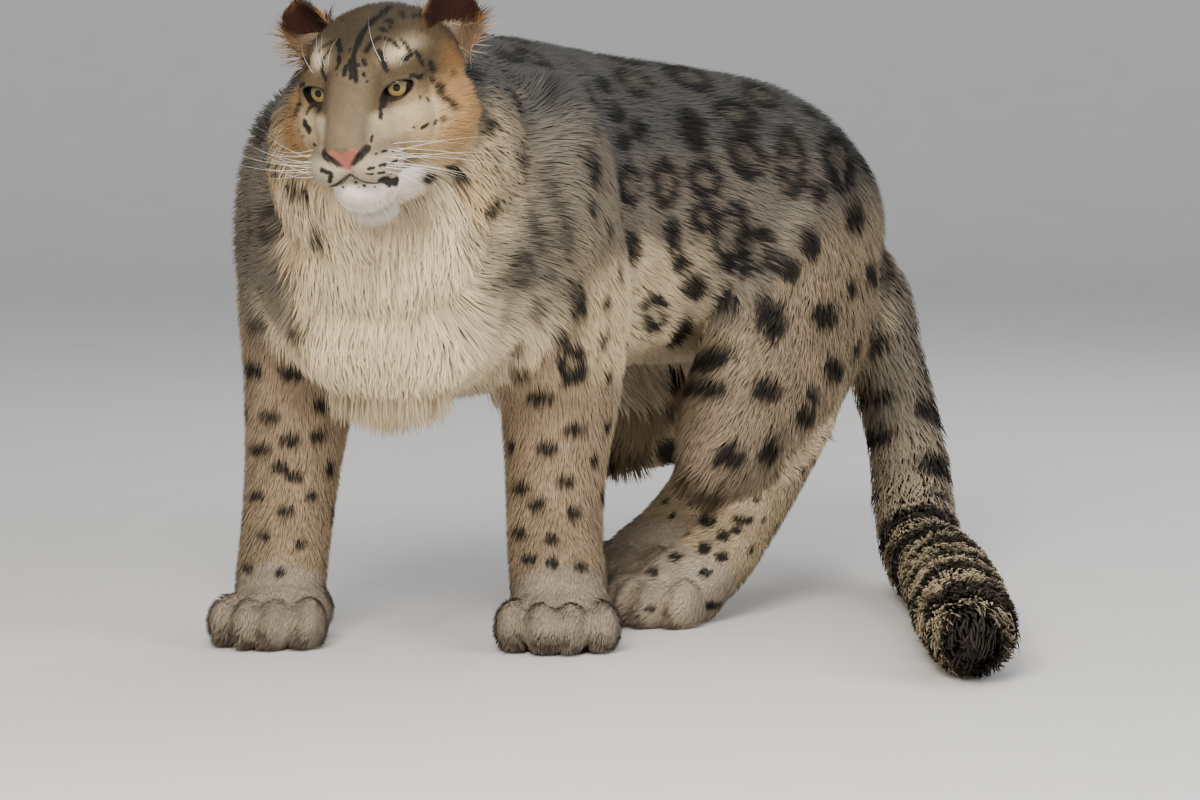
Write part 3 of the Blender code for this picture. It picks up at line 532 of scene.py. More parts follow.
def ear_place(side):
    """The ear's own frame: it opens forwards and outwards."""
    place = HEAD @ Matrix.Translation((EAR_BASE.x, EAR_BASE.y * side, EAR_BASE.z))
    place = place @ Matrix.Rotation(-EAR_LEAN * side, 4, "X")
    return place @ Matrix.Rotation(EAR_OPENING * side, 4, "Z")


def rim_of(grid):
    """The points round the border of a grid of rows, in their order."""
    last, first = [row[-1] for row in grid[1:]], [row[0] for row in grid[-2:0:-1]]
    return grid[0] + last + grid[-1][-2::-1] + first


def add_ear(bm, side):
    """A cupped shell, thick enough for the remesh."""
    place = ear_place(side)
    layers = []
    for face in (0.5, -0.5):
        grid = []
        for j in range(EAR_LAYERS + 1):
            v = j / EAR_LAYERS
            width = EAR_WIDTH / 2 * math.sqrt(max(1.0 - v**2.6, 0.0)) * (0.92 + 0.16 * v) + 0.001
            row = []
            for i in range(EAR_COLUMNS + 1):
                u = 2.0 * i / EAR_COLUMNS - 1.0
                cup = EAR_CUP * (1.0 - u * u) * (1.0 - 0.55 * v)
                ahead = -cup + 0.006 * v + face * EAR_THICKNESS
                row.append(bm.verts.new(place @ Vector((ahead, u * width, v * EAR_HEIGHT - EAR_SINK))))
            grid.append(row)
        layers.append(grid)
    rim_front, rim_rear = [rim_of(grid) for grid in layers]
    for grid in layers:
        for low, high in zip(grid, grid[1:]):
            for i in range(EAR_COLUMNS):
                bm.faces.new((low[i], low[i + 1], high[i + 1], high[i]))
    for k in range(len(rim_front)):
        j = (k + 1) % len(rim_front)
        bm.faces.new((rim_front[k], rim_front[j], rim_rear[j], rim_rear[k]))


print("makers ready")

# %% Body and head, each wrapped in one surface
BODY_VOXEL = 0.0042
BODY_SMOOTHING = 60
BODY_TRIANGLES = 84000
HEAD_VOXEL = 0.0013
HEAD_SMOOTHING = 90
HEAD_TRIANGLES = 100000


def apply_modifiers(body):
    """Applies an object's modifiers in their order."""
    with bpy.context.temp_override(object=body, active_object=body, selected_objects=[body]):
        for name in [modifier.name for modifier in body.modifiers]:
            bpy.ops.object.modifier_apply(modifier=name)


def coordinates(mesh):
    """The mesh's points as an array."""
    flat = np.empty(3 * len(mesh.vertices), np.float32)
    mesh.vertices.foreach_get("co", flat)
    return flat.reshape(-1, 3).astype(float)


def wrapped(name, bm, voxel, smoothing, triangles, softness):
    """One closed smooth surface round the shapes in a bmesh, thinned to a number of triangles."""
    bmesh.ops.recalc_face_normals(bm, faces=bm.faces)
    body = from_bmesh(name, bm)
    remesh = body.modifiers.new("wrap", "REMESH")
    remesh.mode = "VOXEL"
    remesh.voxel_size = voxel
    apply_modifiers(body)
    points = coordinates(body.data)
    weights = softness(points)
    edges = np.empty(2 * len(body.data.edges), np.int32)
    body.data.edges.foreach_get("vertices", edges)
    one, other = edges[::2], edges[1::2]
    count = np.bincount(edges, minlength=len(points))[:, None]
    for _ in range(smoothing):
        total = np.empty_like(points)
        for axis in range(3):
            total[:, axis] = np.bincount(one, points[other, axis], len(points))
            total[:, axis] += np.bincount(other, points[one, axis], len(points))
        points += (total / count - points) * (0.5 * weights[:, None])
    body.data.vertices.foreach_set("co", points.astype(np.float32).ravel())
    fewer = body.modifiers.new("fewer", "DECIMATE")
    fewer.ratio = min(triangles / (2.0 * len(body.data.polygons)), 1.0)
    apply_modifiers(body)
    return body


def body_softness(points):
    """Paws keep their toes and the trunk is smoothed most."""
    return np.clip((points[:, 2] - 0.045) / 0.12, 0.10, 1.0)


def in_head(points):
    """Points in the head's frame: forward, left, up."""
    inverse = np.array(HEAD.inverted())
    return points @ inverse[:3, :3].T + inverse[:3, 3]


def head_softness(points):
    """The face and ears keep their forms and the neck is smoothed."""
    place = in_head(points)
    soft = np.where(place[:, 0] > 0.02, 0.30, np.clip((-0.06 - place[:, 0]) / 0.06, 0.60, 1.0))
    ear = (place[:, 2] > 0.030) & (np.abs(place[:, 1]) > 0.035) & (place[:, 0] < -0.05)
    return np.where(ear, 0.15, soft)


bm = bmesh.new()
for name, (first, last, stations) in TUBES.items():
    rows = hide_rows(first, last, stations)
    add_tube(bm, rows)
    if name not in ("trunk", "tail", "neck"):
        for row in (rows[0], rows[-1]):
            add_mass(bm, row[:3], (row[3], row[3], min(row[3], row[4])))
    elif name == "neck":
        add_mass(bm, rows[-1][:3], (rows[-1][3], rows[-1][3], rows[-1][4]))
for depth, centre, half, turn in MASSES:
    size = [value - depth for value in half]
    add_mass(bm, Vector(centre) - ORIGIN, size, Matrix.Rotation(math.radians(turn), 4, "Z"))
for place, heading, half_width in PAWS.values():
    add_paw(bm, place, heading, half_width)
skin = wrapped("skin", bm, BODY_VOXEL, BODY_SMOOTHING, BODY_TRIANGLES, body_softness)

bm = bmesh.new()
for depth, (forward, left, high), half in HEAD_MASSES:
    size = [value - depth for value in half]
    for side in (1,) if left == 0 else (1, -1):
        add_mass(bm, HEAD @ Vector((forward, left * side, high)), size, HEAD_TURN)
rows = spline(MUZZLE)
rows[:, 3:] -= MUZZLE_COAT
add_tube(bm, rows, across=HEAD_TURN @ Vector((0, 1, 0)), place=HEAD)
for side in (1, -1):
    add_ear(bm, side)
head = wrapped("head_skin", bm, HEAD_VOXEL, HEAD_SMOOTHING, HEAD_TRIANGLES, head_softness)
print("body", len(skin.data.polygons), "faces, head", len(head.data.polygons))

# %% [markdown]
# The face needs crisp edges where skin meets eye, nostril and lip. Closed cutters take them out of the
# smooth head in one Boolean: the eyeball's own sphere, an almond prism for the gap between the lids, a
# bent tube for each nostril and a thin one along the mouth. The lids are then as thick as real ones and
# close on the ball.

# %% Eyes, lids, nostrils and mouth
NOSTRIL = [
    (0.0800, 0.0035, -0.0535, 0.0012),
    (0.0790, 0.0080, -0.0505, 0.0026),
    (0.0750, 0.0140, -0.0455, 0.0024),
    (0.0680, 0.0190, -0.0405, 0.0010),
]
PHILTRUM = [
    (0.0760, 0.0, -0.0555, 0.0008),
    (0.0720, 0.0, -0.0600, 0.0011),
    (0.0690, 0.0, -0.0635, 0.0008),
]
MOUTH_LINE = [
    (0.069, 0.0000, -0.0635, 0.0013),
    (0.067, 0.0080, -0.0690, 0.0014),
    (0.060, 0.0200, -0.0735, 0.0017),
    (0.042, 0.0310, -0.0750, 0.0024),
    (0.016, 0.0390, -0.0720, 0.0010),
]
EYE_STEPS = 24


def eye_place(side):
    """The eye's own frame: forward is its gaze."""
    centre = Vector((EYE_OFFSET.x, EYE_OFFSET.y * side, EYE_OFFSET.z))
    return HEAD @ Matrix.Translation(centre) @ Matrix.Rotation(EYE_OUTWARD * side, 4, "Z")


def ball(side, radius):
    """A sphere with its poles on the gaze."""
    bm = bmesh.new()
    place = eye_place(side) @ Matrix.Rotation(math.pi / 2, 4, "Y")
    bmesh.ops.create_uvsphere(bm, u_segments=64, v_segments=40, radius=radius, matrix=place)
    return bm


def lid_opening(side):
    """A prism with the almond outline between the lids, along the gaze."""
    bm = bmesh.new()
    place = eye_place(side) @ Matrix.Rotation(LID_SLANT * side, 4, "X")
    rings = []
    for depth, spread in ((0.004, 0.96), (0.040, 1.45)):
        ring = []
        for k in range(2 * EYE_STEPS):
            angle = math.pi * k / EYE_STEPS
            across = math.cos(angle) * LID_WIDTH / 2 + LID_SHIFT * side
            high = math.sin(angle) * LID_HEIGHT / 2 * (1.0 - 0.25 * abs(math.cos(angle)))
            high *= LID_UPPER if high > 0 else 1.0
            ring.append(bm.verts.new(place @ Vector((depth, across * spread, high * spread))))
        rings.append(ring)
    for k in range(len(rings[0])):
        j = (k + 1) % len(rings[0])
        bm.faces.new((rings[0][k], rings[0][j], rings[1][j], rings[1][k]))
    bm.faces.new(rings[0])
    bm.faces.new(rings[1])
    return bm


def tree_of(body):
    """A search tree of an object's surface."""
    bm = bmesh.new()
    bm.from_mesh(body.data)
    tree = BVHTree.FromBMesh(bm)
    bm.free()
    return tree


def groove(tree, line, side=1):
    """A thin tube along a line of the face, half sunk in the skin."""
    rows = []
    for x, y, z, radius in spline(line, steps=5):
        rows.append((*tree.find_nearest(HEAD @ Vector((x, y * side, z)))[0], radius, radius))
    bm = bmesh.new()
    add_tube(bm, rows, sides=10, across=(0.0, 0.1, 1.0))
    return bm


head_tree = tree_of(head)
whole_mouth = [(x, -y, z, r) for x, y, z, r in reversed(MOUTH_LINE)] + MOUTH_LINE[1:]
cutters = bpy.data.collections.new("cutters")
bpy.context.scene.collection.children.link(cutters)
shapes = [groove(head_tree, whole_mouth), groove(head_tree, PHILTRUM)]
for side in (1, -1):
    shapes += [ball(side, EYE_RADIUS + 0.0002), lid_opening(side), groove(head_tree, NOSTRIL, side)]
for bm in shapes:
    bmesh.ops.recalc_face_normals(bm, faces=bm.faces)
    mesh = bpy.data.meshes.new("cutter")
    bm.to_mesh(mesh)
    bm.free()
    cutters.objects.link(bpy.data.objects.new("cutter", mesh))
cut = head.modifiers.new("face", "BOOLEAN")
cut.operation = "DIFFERENCE"
cut.operand_type = "COLLECTION"
cut.collection = cutters
apply_modifiers(head)
for cutter in list(cutters.objects):
    bpy.data.objects.remove(cutter)
bpy.data.collections.remove(cutters)
print("head after its cuts:", len(head.data.polygons), "faces")

# %% Head and body as one skin
join = skin.modifiers.new("join", "BOOLEAN")
join.operation = "UNION"
join.solver = "MANIFOLD"
join.object = head
apply_modifiers(skin)
bpy.data.objects.remove(head)


def keep_largest(body):
    """Keeps only the largest closed surface."""
    bm = bmesh.new()
    bm.from_mesh(body.data)
    left = set(bm.faces)
    found = []
    while left:
        stack = [left.pop()]
        shell = []
        while stack:
            face = stack.pop()
            shell.append(face)
            for edge in face.edges:
                for other in edge.link_faces:
                    if other in left:
                        left.remove(other)
                        stack.append(other)
        found.append(shell)
    found.sort(key=len, reverse=True)
    for shell in found[1:]:
        bmesh.ops.delete(bm, geom=shell, context="FACES")
    bmesh.ops.triangulate(bm, faces=bm.faces)
    bm.to_mesh(body.data)
    bm.free()
    return len(found)


print("surfaces:", keep_largest(skin), "skin triangles:", len(skin.data.polygons))
pressed = coordinates(skin.data)
pressed[:, 2] = np.maximum(pressed[:, 2], 0.0)
skin.data.vertices.foreach_set("co", pressed.astype(np.float32).ravel())
skin.data.update()

# %% [markdown]
# Hair grows by region: short on the face and feet, thick and long on neck, chest, belly and tail. Guides
# hold this knowledge. Each is a path with a radius, and says at both ends how long the hair is, how far
# its tips stand off the hide, and which way it lies. A point on the body listens to the guides round it,
# the nearest one most, so that the coat changes without a border.

# %% Guides for the coat
# Hair length at the two ends, height of the tips at the two ends, and whether the hair runs along the path
TUBE_HAIR = {
    "trunk": (0.030, 0.028, 0.0115, 0.0115, 1),
    "neck": (0.042, 0.034, 0.0155, 0.0120, -1),
    "tail": (0.040, 0.042, 0.0160, 0.0210, 1),
}
LIMB_HAIR = {
    "foreleg": (0.024, 0.011, 0.0095, 0.0045, 1),
    "thigh": (0.027, 0.021, 0.0110, 0.0085, 1),
    "shank": (0.021, 0.015, 0.0090, 0.0070, 1),
    "hind_foot": (0.014, 0.010, 0.0055, 0.0042, 1),
}
for limb, hair in LIMB_HAIR.items():
    TUBE_HAIR[limb + "_left"] = hair
    TUBE_HAIR[limb + "_right"] = hair
# Long fur that no tube carries: length, height of the tips, way, and a path of x, y, z, radius
FRINGES = {
    "chest": (0.052, 0.017, (0.02, 0.02, -1.0),
              [(0.020, -0.225, 0.430, 0.085), (-0.004, -0.205, 0.270, 0.100)]),
    "belly": (0.044, 0.016, (0.00, 0.60, -0.75),
              [(-0.045, -0.060, 0.245, 0.060), (-0.030, 0.360, 0.245, 0.060)]),
}
FRINGE_POINTS = 12
FRINGE_END = 0.6  # how long this fur is at its path's end, against its start
PAW_HAIR = (0.011, 0.0036)
PAW_POINTS = 5
HEAD_CENTRE = (-0.030, 0.0, -0.020)  # in the head's frame
HEAD_RADIUS = 0.088
HEAD_PULL = 0.22  # how much nearer the head counts than it is, in its radii
SAG = 0.42  # how far the trunk's hair droops from the line of its back

guide_place, guide_size, guide_way, guide_hair, guide_region, guide_along = [], [], [], [], [], []
regions = []


def add_guide(name, path, size, ways, hair):
    """One path of points, with the hair's length and height at each."""
    regions.append(name)
    guide_place.append(path)
    guide_size.append(size)
    guide_way.append(ways)
    guide_hair.append(hair)
    guide_region.append(np.full(len(path), len(regions) - 1))
    steps = np.concatenate([[0.0], np.linalg.norm(np.diff(path, axis=0), axis=1).cumsum()])
    guide_along.append(steps / steps[-1])


def unit(vectors):
    """Vectors of length one."""
    return vectors / np.maximum(np.linalg.norm(vectors, axis=-1, keepdims=True), 1e-9)


def between(first, last, count):
    """Steps from one hair to another, as rows of length and height."""
    return np.linspace(first, last, count)


for name, (length_a, length_b, height_a, height_b, sense) in TUBE_HAIR.items():
    rows = hide_rows(*TUBES[name])
    ways = unit(np.gradient(rows[:, :3], axis=0)) * sense
    if name in ("trunk", "neck"):
        ways = unit(ways - np.array((0.0, 0.0, SAG)))
    hair = between((length_a, height_a), (length_b, height_b), len(rows))
    add_guide(name, rows[:, :3], rows[:, 3:].mean(axis=1), ways, hair)
for name, (length, height, way, ends) in FRINGES.items():
    rows = np.linspace(ends[0], ends[1], FRINGE_POINTS)
    rows[:, :3] -= np.array(ORIGIN)
    ways = unit(np.tile(way, (FRINGE_POINTS, 1)))
    hair = between((length, height), (length * FRINGE_END, height), FRINGE_POINTS)
    add_guide(name, rows[:, :3], rows[:, 3], ways, hair)
for name, (place, heading, half_width) in PAWS.items():
    angle = math.radians(heading)
    middle = np.array((*place, 0.030)) - np.array(ORIGIN)
    ahead = np.array((math.sin(angle), -math.cos(angle), 0.0))
    path = middle + ahead * np.linspace(-0.030, 0.030, PAW_POINTS)[:, None]
    ways = unit(np.tile(ahead + np.array((0.0, 0.0, -0.5)), (PAW_POINTS, 1)))
    hair = between(PAW_HAIR, PAW_HAIR, PAW_POINTS)
    add_guide("paw_" + name, path, np.full(PAW_POINTS, half_width), ways, hair)
guide_place, guide_size = np.vstack(guide_place), np.concatenate(guide_size)
guide_way, guide_hair = np.vstack(guide_way), np.vstack(guide_hair)
guide_region, guide_along = np.concatenate(guide_region), np.concatenate(guide_along)
regions.append("head")
print(len(regions), "regions:", ", ".join(regions))

# %% What each point of the hide is told
BLEND = 9.0  # how sharply the nearest guide wins
CHUNK = 20000


def smooth(value, low, high):
    """0 below low, 1 above high, with a soft ramp; low may be the greater."""
    t = np.clip((value - low) / (high - low), 0.0, 1.0)
    return t * t * (3 - 2 * t)


def head_hair(points):
    """Length, height and way of the hair on the head, from places in the head's frame."""
    place = in_head(points)
    ahead, left, high = place.T
    behind = np.clip((0.050 - ahead) / 0.10, 0.0, 1.0)
    cheek = smooth(ahead, 0.000, -0.055) * smooth(high, 0.020, -0.030)
    throat = smooth(high, -0.082, -0.100)
    crown = smooth(ahead, -0.040, -0.085) * smooth(high, 0.000, 0.030)
    length = 0.0035 + 0.0065 * behind + 0.026 * cheek + 0.014 * throat + 0.012 * crown
    height = 0.0009 + 0.0022 * behind + 0.0060 * cheek + 0.0040 * throat + 0.0030 * crown
    nose = np.array((0.088, 0.0, -0.045))
    way = place - nose
    way[:, 2] -= 0.050 * (cheek + throat)
    way[:, 1] += np.sign(left) * 0.020 * cheek
    way[:, 0] -= 0.030 * cheek
    ear = on_ear(place)
    length = np.where(ear, 0.0060, length)
    height = np.where(ear, 0.0012, height)
    way[ear] = np.array((-0.1, 0.0, 1.0))
    turn = np.array(HEAD)[:3, :3]
    return np.column_stack([length, height]), unit(way @ turn.T)


def on_ear(place):
    """Whether a place in the head's frame is on an ear."""
    return (place[:, 2] > 0.036) & (np.abs(place[:, 1]) > 0.044) & (place[:, 0] < -0.060)


def rule_of(rules, name):
    """A region's rule, kept under its own name or its limb's; nothing where it has none."""
    return next((rule for key, rule in rules.items() if name.startswith(key)), None)


def told(points):
    """Hair length and height, way of the hair, region, and place along the region's guide."""
    count = len(points)
    hair, way = np.empty((count, 2)), np.empty((count, 3))
    region, along = np.empty(count, int), np.empty(count)
    for start in range(0, count, CHUNK):
        part = slice(start, min(start + CHUNK, count))
        p = points[part]
        apart = np.sqrt(((p[:, None] - guide_place[None]) ** 2).sum(-1)) / guide_size
        near = np.empty((len(p), len(regions)))
        pick = np.empty((len(p), len(regions) - 1), int)
        for k in range(len(regions) - 1):
            mine = np.flatnonzero(guide_region == k)
            best = apart[:, mine].argmin(1)
            pick[:, k] = mine[best]
            near[:, k] = apart[np.arange(len(p)), pick[:, k]]
        head_middle = np.array(HEAD @ Vector(HEAD_CENTRE))
        near[:, -1] = np.linalg.norm(p - head_middle, axis=1) / HEAD_RADIUS - HEAD_PULL
        weight = np.exp(-BLEND * (near - near.min(1, keepdims=True)))
        weight /= weight.sum(1, keepdims=True)
        hair_head, way_head = head_hair(p)
        hair[part] = (guide_hair[pick] * weight[:, :-1, None]).sum(1) + hair_head * weight[:, -1:]
        way[part] = (guide_way[pick] * weight[:, :-1, None]).sum(1) + way_head * weight[:, -1:]
        region[part] = near.argmin(1)
        nearest = pick[np.arange(len(p)), np.minimum(region[part], len(regions) - 2)]
        along[part] = guide_along[nearest]
    return hair, unit(way), region, along


points = coordinates(skin.data)
skin_way, skin_region, skin_along = told(points)[1:]
for k, name in enumerate(regions):
    print(name, int((skin_region == k).sum()), "points")

# %% [markdown]
# The markings are a list of marks, each with a place, a size, a turn and a kind. Those on the side that
# the picture shows are placed by the pixel where they are seen, as a ray from the camera finds the hide
# there. A snow leopard's pattern is a fingerprint: large broken rosettes on the flank, solid spots on the
# neck and legs, rows of dots on the head and wide rings round the tail. The far side has its own marks,
# drawn at random by the same rules, because no cat's two sides match.

# %% Marks that the picture shows
# Metres for one pixel at the body, a little large because the fur eats the marks' edges
RING_SCALE, SPOT_SCALE = 0.00106, 0.00116
# pixel across, pixel down, half width, half height, turn in degrees, kind: 0 solid, 1 ring
FLANK_MARKS = [
    (632, 88, 17, 13, 0, 1), (687, 84, 21, 11, 25, 1), (759, 102, 16, 10, 28, 1), (733, 120, 18, 12, 15, 1),
    (690, 137, 12, 22, -25, 0), (743, 159, 16, 19, -25, 1), (788, 167, 13, 28, -3, 1),
    (834, 167, 13, 24, -10, 1),
    (613, 119, 7, 10, 0, 0), (618, 146, 7, 9, 0, 0), (634, 134, 7, 10, 0, 0), (623, 187, 10, 17, 0, 1),
    (660, 185, 11, 19, 0, 1), (700, 182, 15, 14, 0, 1), (700, 218, 13, 12, 0, 1), (727, 235, 14, 26, 8, 1),
    (757, 254, 17, 22, 10, 1), (807, 250, 8, 14, 0, 0), (787, 274, 9, 12, 0, 0), (816, 198, 8, 11, 0, 0),
    (667, 236, 7, 16, 0, 0), (675, 262, 8, 10, 0, 0), (850, 222, 10, 14, 0, 0), (600, 92, 6, 9, -20, 0),
    (586, 110, 5, 16, -20, 0), (556, 98, 4, 18, -15, 0), (532, 226, 5, 24, -12, 0), (516, 172, 4, 22, -10, 0),
    (552, 188, 6, 22, -8, 0), (566, 232, 5, 26, -5, 0), (574, 300, 6, 20, -6, 0), (519, 269, 9, 14, 15, 1),
    (493, 285, 6, 13, 35, 0), (482, 209, 9, 7, 0, 0), (459, 239, 13, 6, -20, 0), (537, 310, 7, 10, 0, 0),
    (545, 240, 4, 13, 0, 0), (551, 272, 4, 12, 0, 0), (517, 346, 6, 8, 30, 0), (590, 172, 5, 18, -6, 0),
    (396, 266, 2.0, 24, 0, 0), (377, 285, 1.8, 16, 3, 0), (390, 312, 1.8, 20, 2, 0),
]
LEG_MARKS = [
    (690, 285, 11, 12, 0, 0), (727, 304, 13, 17, 0, 0), (769, 323, 12, 21, -5, 0), (866, 277, 9, 12, 0, 0),
    (874, 341, 8, 12, 0, 0), (677, 328, 7, 15, 35, 0), (668, 383, 8, 15, 38, 0), (711, 366, 21, 10, -18, 0),
    (705, 395, 18, 9, 0, 0), (762, 394, 13, 10, 10, 0), (726, 459, 12, 12, 0, 0), (670, 450, 15, 10, 0, 0),
    (764, 453, 8, 14, 25, 0), (820, 320, 13, 12, 0, 0), (828, 372, 11, 11, 0, 0), (800, 420, 9, 10, 0, 0),
    (707, 524, 8, 5, 0, 0), (741, 522, 8, 5, 0, 0), (721, 538, 6, 5, 0, 0), (736, 532, 5, 4, 0, 0),
    (703, 550, 7, 5, 0, 0), (721, 558, 6, 5, 0, 0), (674, 559, 6, 4, 0, 0), (703, 574, 6, 4, 0, 0),
    (652, 574, 6, 4, 0, 0), (649, 610, 5, 3, 0, 0), (711, 606, 9, 4, 0, 0), (807, 398, 6, 8, 0, 0),
    (509, 456, 9, 7, 0, 0), (548, 451, 9, 7, 0, 0), (573, 376, 10, 8, 0, 0), (541, 398, 11, 7, 0, 0),
    (572, 432, 9, 7, 0, 0), (565, 485, 8, 6, 0, 0), (538, 508, 8, 6, 0, 0), (573, 516, 7, 6, 0, 0),
    (521, 537, 7, 5, 0, 0), (551, 543, 7, 5, 0, 0), (531, 562, 6, 5, 0, 0), (553, 566, 6, 5, 0, 0),
    (580, 570, 6, 4, 0, 0), (522, 492, 8, 6, 0, 0), (256, 371, 9, 7, 0, 0), (291, 371, 10, 7, 0, 0),
    (246, 408, 7, 8, 0, 0), (271, 419, 10, 6, 0, 0), (290, 444, 9, 6, 0, 0), (262, 453, 9, 6, 0, 0),
    (316, 439, 7, 6, 0, 0), (318, 407, 7, 7, 0, 0), (279, 470, 8, 5, 0, 0), (293, 480, 7, 5, 0, 0),
    (258, 500, 7, 5, 0, 0), (285, 515, 7, 5, 0, 0), (310, 500, 6, 5, 0, 0), (265, 540, 6, 4, 0, 0),
    (300, 548, 6, 4, 0, 0), (250, 570, 5, 4, 0, 0), (280, 575, 5, 4, 0, 0), (305, 330, 9, 7, 0, 0),
    (262, 325, 9, 8, 0, 0), (570, 366, 10, 15, 0, 1), (520, 372, 9, 8, 0, 0),
]
TAIL_MARKS = [
    (867, 279, 9, 12, 0, 0), (904, 303, 10, 13, 0, 0), (875, 342, 10, 11, 0, 0), (912, 365, 11, 12, 0, 0),
    (880, 398, 14, 7, 0, 0), (922, 416, 11, 15, -35, 0), (886, 441, 13, 9, 0, 0), (928, 474, 14, 12, 0, 0),
]
# Strokes and dots on the head: half width in pixels, then the pixels that they run through
FACE_STROKES = [
    (1.5, (356, 81), (354, 57), (356, 47)), (2.0, (358, 45), (363, 33), (371, 23)),
    (1.8, (371, 23), (381, 16), (391, 10)), (1.2, (351, 78), (350, 60)), (2.0, (339.5, 40), (340.3, 51)),
    (1.5, (339, 57), (339.5, 63)), (1.2, (337.5, 67), (337, 69)), (1.0, (337, 75)),
    (1.5, (346, 66), (344.5, 75)), (1.4, (334, 42), (323, 48), (319.5, 52)),
    (1.2, (330, 50), (324, 58), (322, 70), (326, 79)), (1.3, (350, 50)), (1.4, (363.5, 60), (365, 64)),
    (1.4, (358.5, 65)), (1.3, (363.5, 73), (364.3, 75.5)), (1.0, (367, 81)),
    (1.6, (366, 51.5), (371, 43), (379, 37.5)), (1.6, (386, 39), (392.5, 41.5), (397.5, 47)),
    (1.9, (402, 41.5), (407.5, 47), (411, 53), (404, 59.5)), (2.6, (416.6, 53), (421.5, 63)),
    (2.0, (430.5, 63), (434, 69.5)), (2.2, (380, 51.5), (382.5, 60), (386, 69)),
    (2.4, (382, 29), (384.5, 32)), (1.6, (390, 21), (391.5, 23)), (1.7, (401, 15), (403.5, 18)),
    (1.3, (386, 21.5)), (1.4, (390, 27.5)), (1.5, (412.5, 17.5), (426, 13)), (1.2, (421.5, 75)),
    (2.2, (432.5, 79.5)), (2.3, (450.5, 75)), (2.3, (440, 86), (441.5, 93), (447, 99.5), (453, 106)),
    (1.8, (427.5, 99.5)), (1.0, (420, 97)), (1.7, (461.5, 94)), (2.6, (465.5, 109.5)),
    (2.0, (469.5, 117), (477, 120)), (1.6, (485.5, 127), (470.5, 132.5)), (1.4, (444, 118)),
    (1.5, (435, 122)), (1.0, (421, 128), (428, 123.5)), (0.9, (414, 127)),
    (1.5, (462, 142), (467.5, 142.5)), (1.4, (384, 99.5), (380, 109.5), (381, 118)),
    (1.0, (372.5, 136), (371, 141)), (1.5, (411, 75.5), (420.5, 77)), (0.9, (376, 154)),
    (1.0, (382, 152), (386.5, 150.5)), (0.9, (393.5, 151.5)), (0.9, (368.5, 169), (374, 167.5)),
    (1.0, (380, 165.8), (386, 164.3)), (0.9, (392, 162.5), (397, 160.5)), (0.8, (367, 174), (373, 174)),
    (0.9, (378.5, 173), (384, 172.5)), (0.9, (391, 174)), (3.6, (383, 179), (390, 181.5), (397, 181)),
    (0.9, (356, 182.5)), (1.3, (364.5, 185.5)), (0.9, (358.5, 187.5)), (0.8, (374.5, 187)),
    (0.9, (343, 187)), (1.6, (321.5, 169.5), (331, 174), (329.5, 182)), (4.0, (302, 190), (311, 192)),
    (3.2, (290, 174)), (1.4, (314.5, 145)), (1.6, (312.5, 106), (307, 113)),
    (2.6, (444, 161.5), (451, 164)), (2.6, (424, 176), (436, 181)), (3.0, (451, 172.5), (456, 179)),
    (4.5, (479, 211), (487, 204)), (3.0, (330, 225), (328, 238)), (2.6, (304, 122), (309, 130)),
    (1.8, (305, 60), (303, 68)), (1.6, (312, 42), (307, 48)),
]
print(len(FLANK_MARKS) + len(LEG_MARKS) + len(TAIL_MARKS), "marks and", len(FACE_STROKES), "strokes")

# %% From pixels to places on the hide
skin_tree = tree_of(skin)
view_axes = camera.rotation_euler.to_matrix()


def seen(across, down):
    """Where the camera's ray through a pixel meets the hide, or nothing."""
    way = Vector((across - PICTURE[0] / 2, PICTURE[1] / 2 - down, -FOCAL_PIXELS))
    spot, normal, _, _ = skin_tree.ray_cast(camera.location, (view_axes @ way).normalized())
    return (None, None) if spot is None else (spot, normal)


mark_place, mark_u, mark_v, mark_kind, mark_reach = [], [], [], [], []


def add_mark(place, wide, tall, first, second, kind):
    """One mark: its middle, its two half sizes along two ways, and its kind."""
    mark_place.append(np.array(place))
    mark_u.append(np.array(first) / wide)
    mark_v.append(np.array(second) / tall)
    mark_kind.append(kind)
    mark_reach.append(1.9 * max(wide, tall))


view_right, view_up = Vector(view_axes.col[0]), Vector(view_axes.col[1])
for across, down, wide, tall, turn, kind in FLANK_MARKS + LEG_MARKS + TAIL_MARKS:
    spot, normal = seen(across, down)
    if spot is None:
        continue
    angle = math.radians(-turn)
    first = view_right * math.cos(angle) + view_up * math.sin(angle)
    second = view_up * math.cos(angle) - view_right * math.sin(angle)
    scale = RING_SCALE if kind else SPOT_SCALE
    add_mark(spot, wide * scale, tall * scale, first, second, kind)
shown = len(mark_place)
strokes = []
STROKE_SCALE = 0.00120  # metres for one pixel at the face, a little large for the same reason
LONG_HAIR_SHARE = 0.07  # of the hair's length, added where long hair would hide a stroke
for half, *pixels in FACE_STROKES:
    run = [seen(*pixel)[0] for pixel in pixels]
    run = [np.array(spot) for spot in run if spot is not None]
    if not run:
        continue
    run = np.array(run if len(run) > 1 else run * 2)
    half = half * STROKE_SCALE + LONG_HAIR_SHARE * told(run)[0][:, 0].mean()
    strokes.append((half, run))
    mirrored = in_head(run) * np.array((1.0, -1.0, 1.0))
    if mirrored[:, 1].max() < -0.040:
        strokes.append((half, mirrored @ np.array(HEAD)[:3, :3].T + np.array(HEAD.translation)))
print(shown, "marks found the hide,", len(strokes), "strokes")

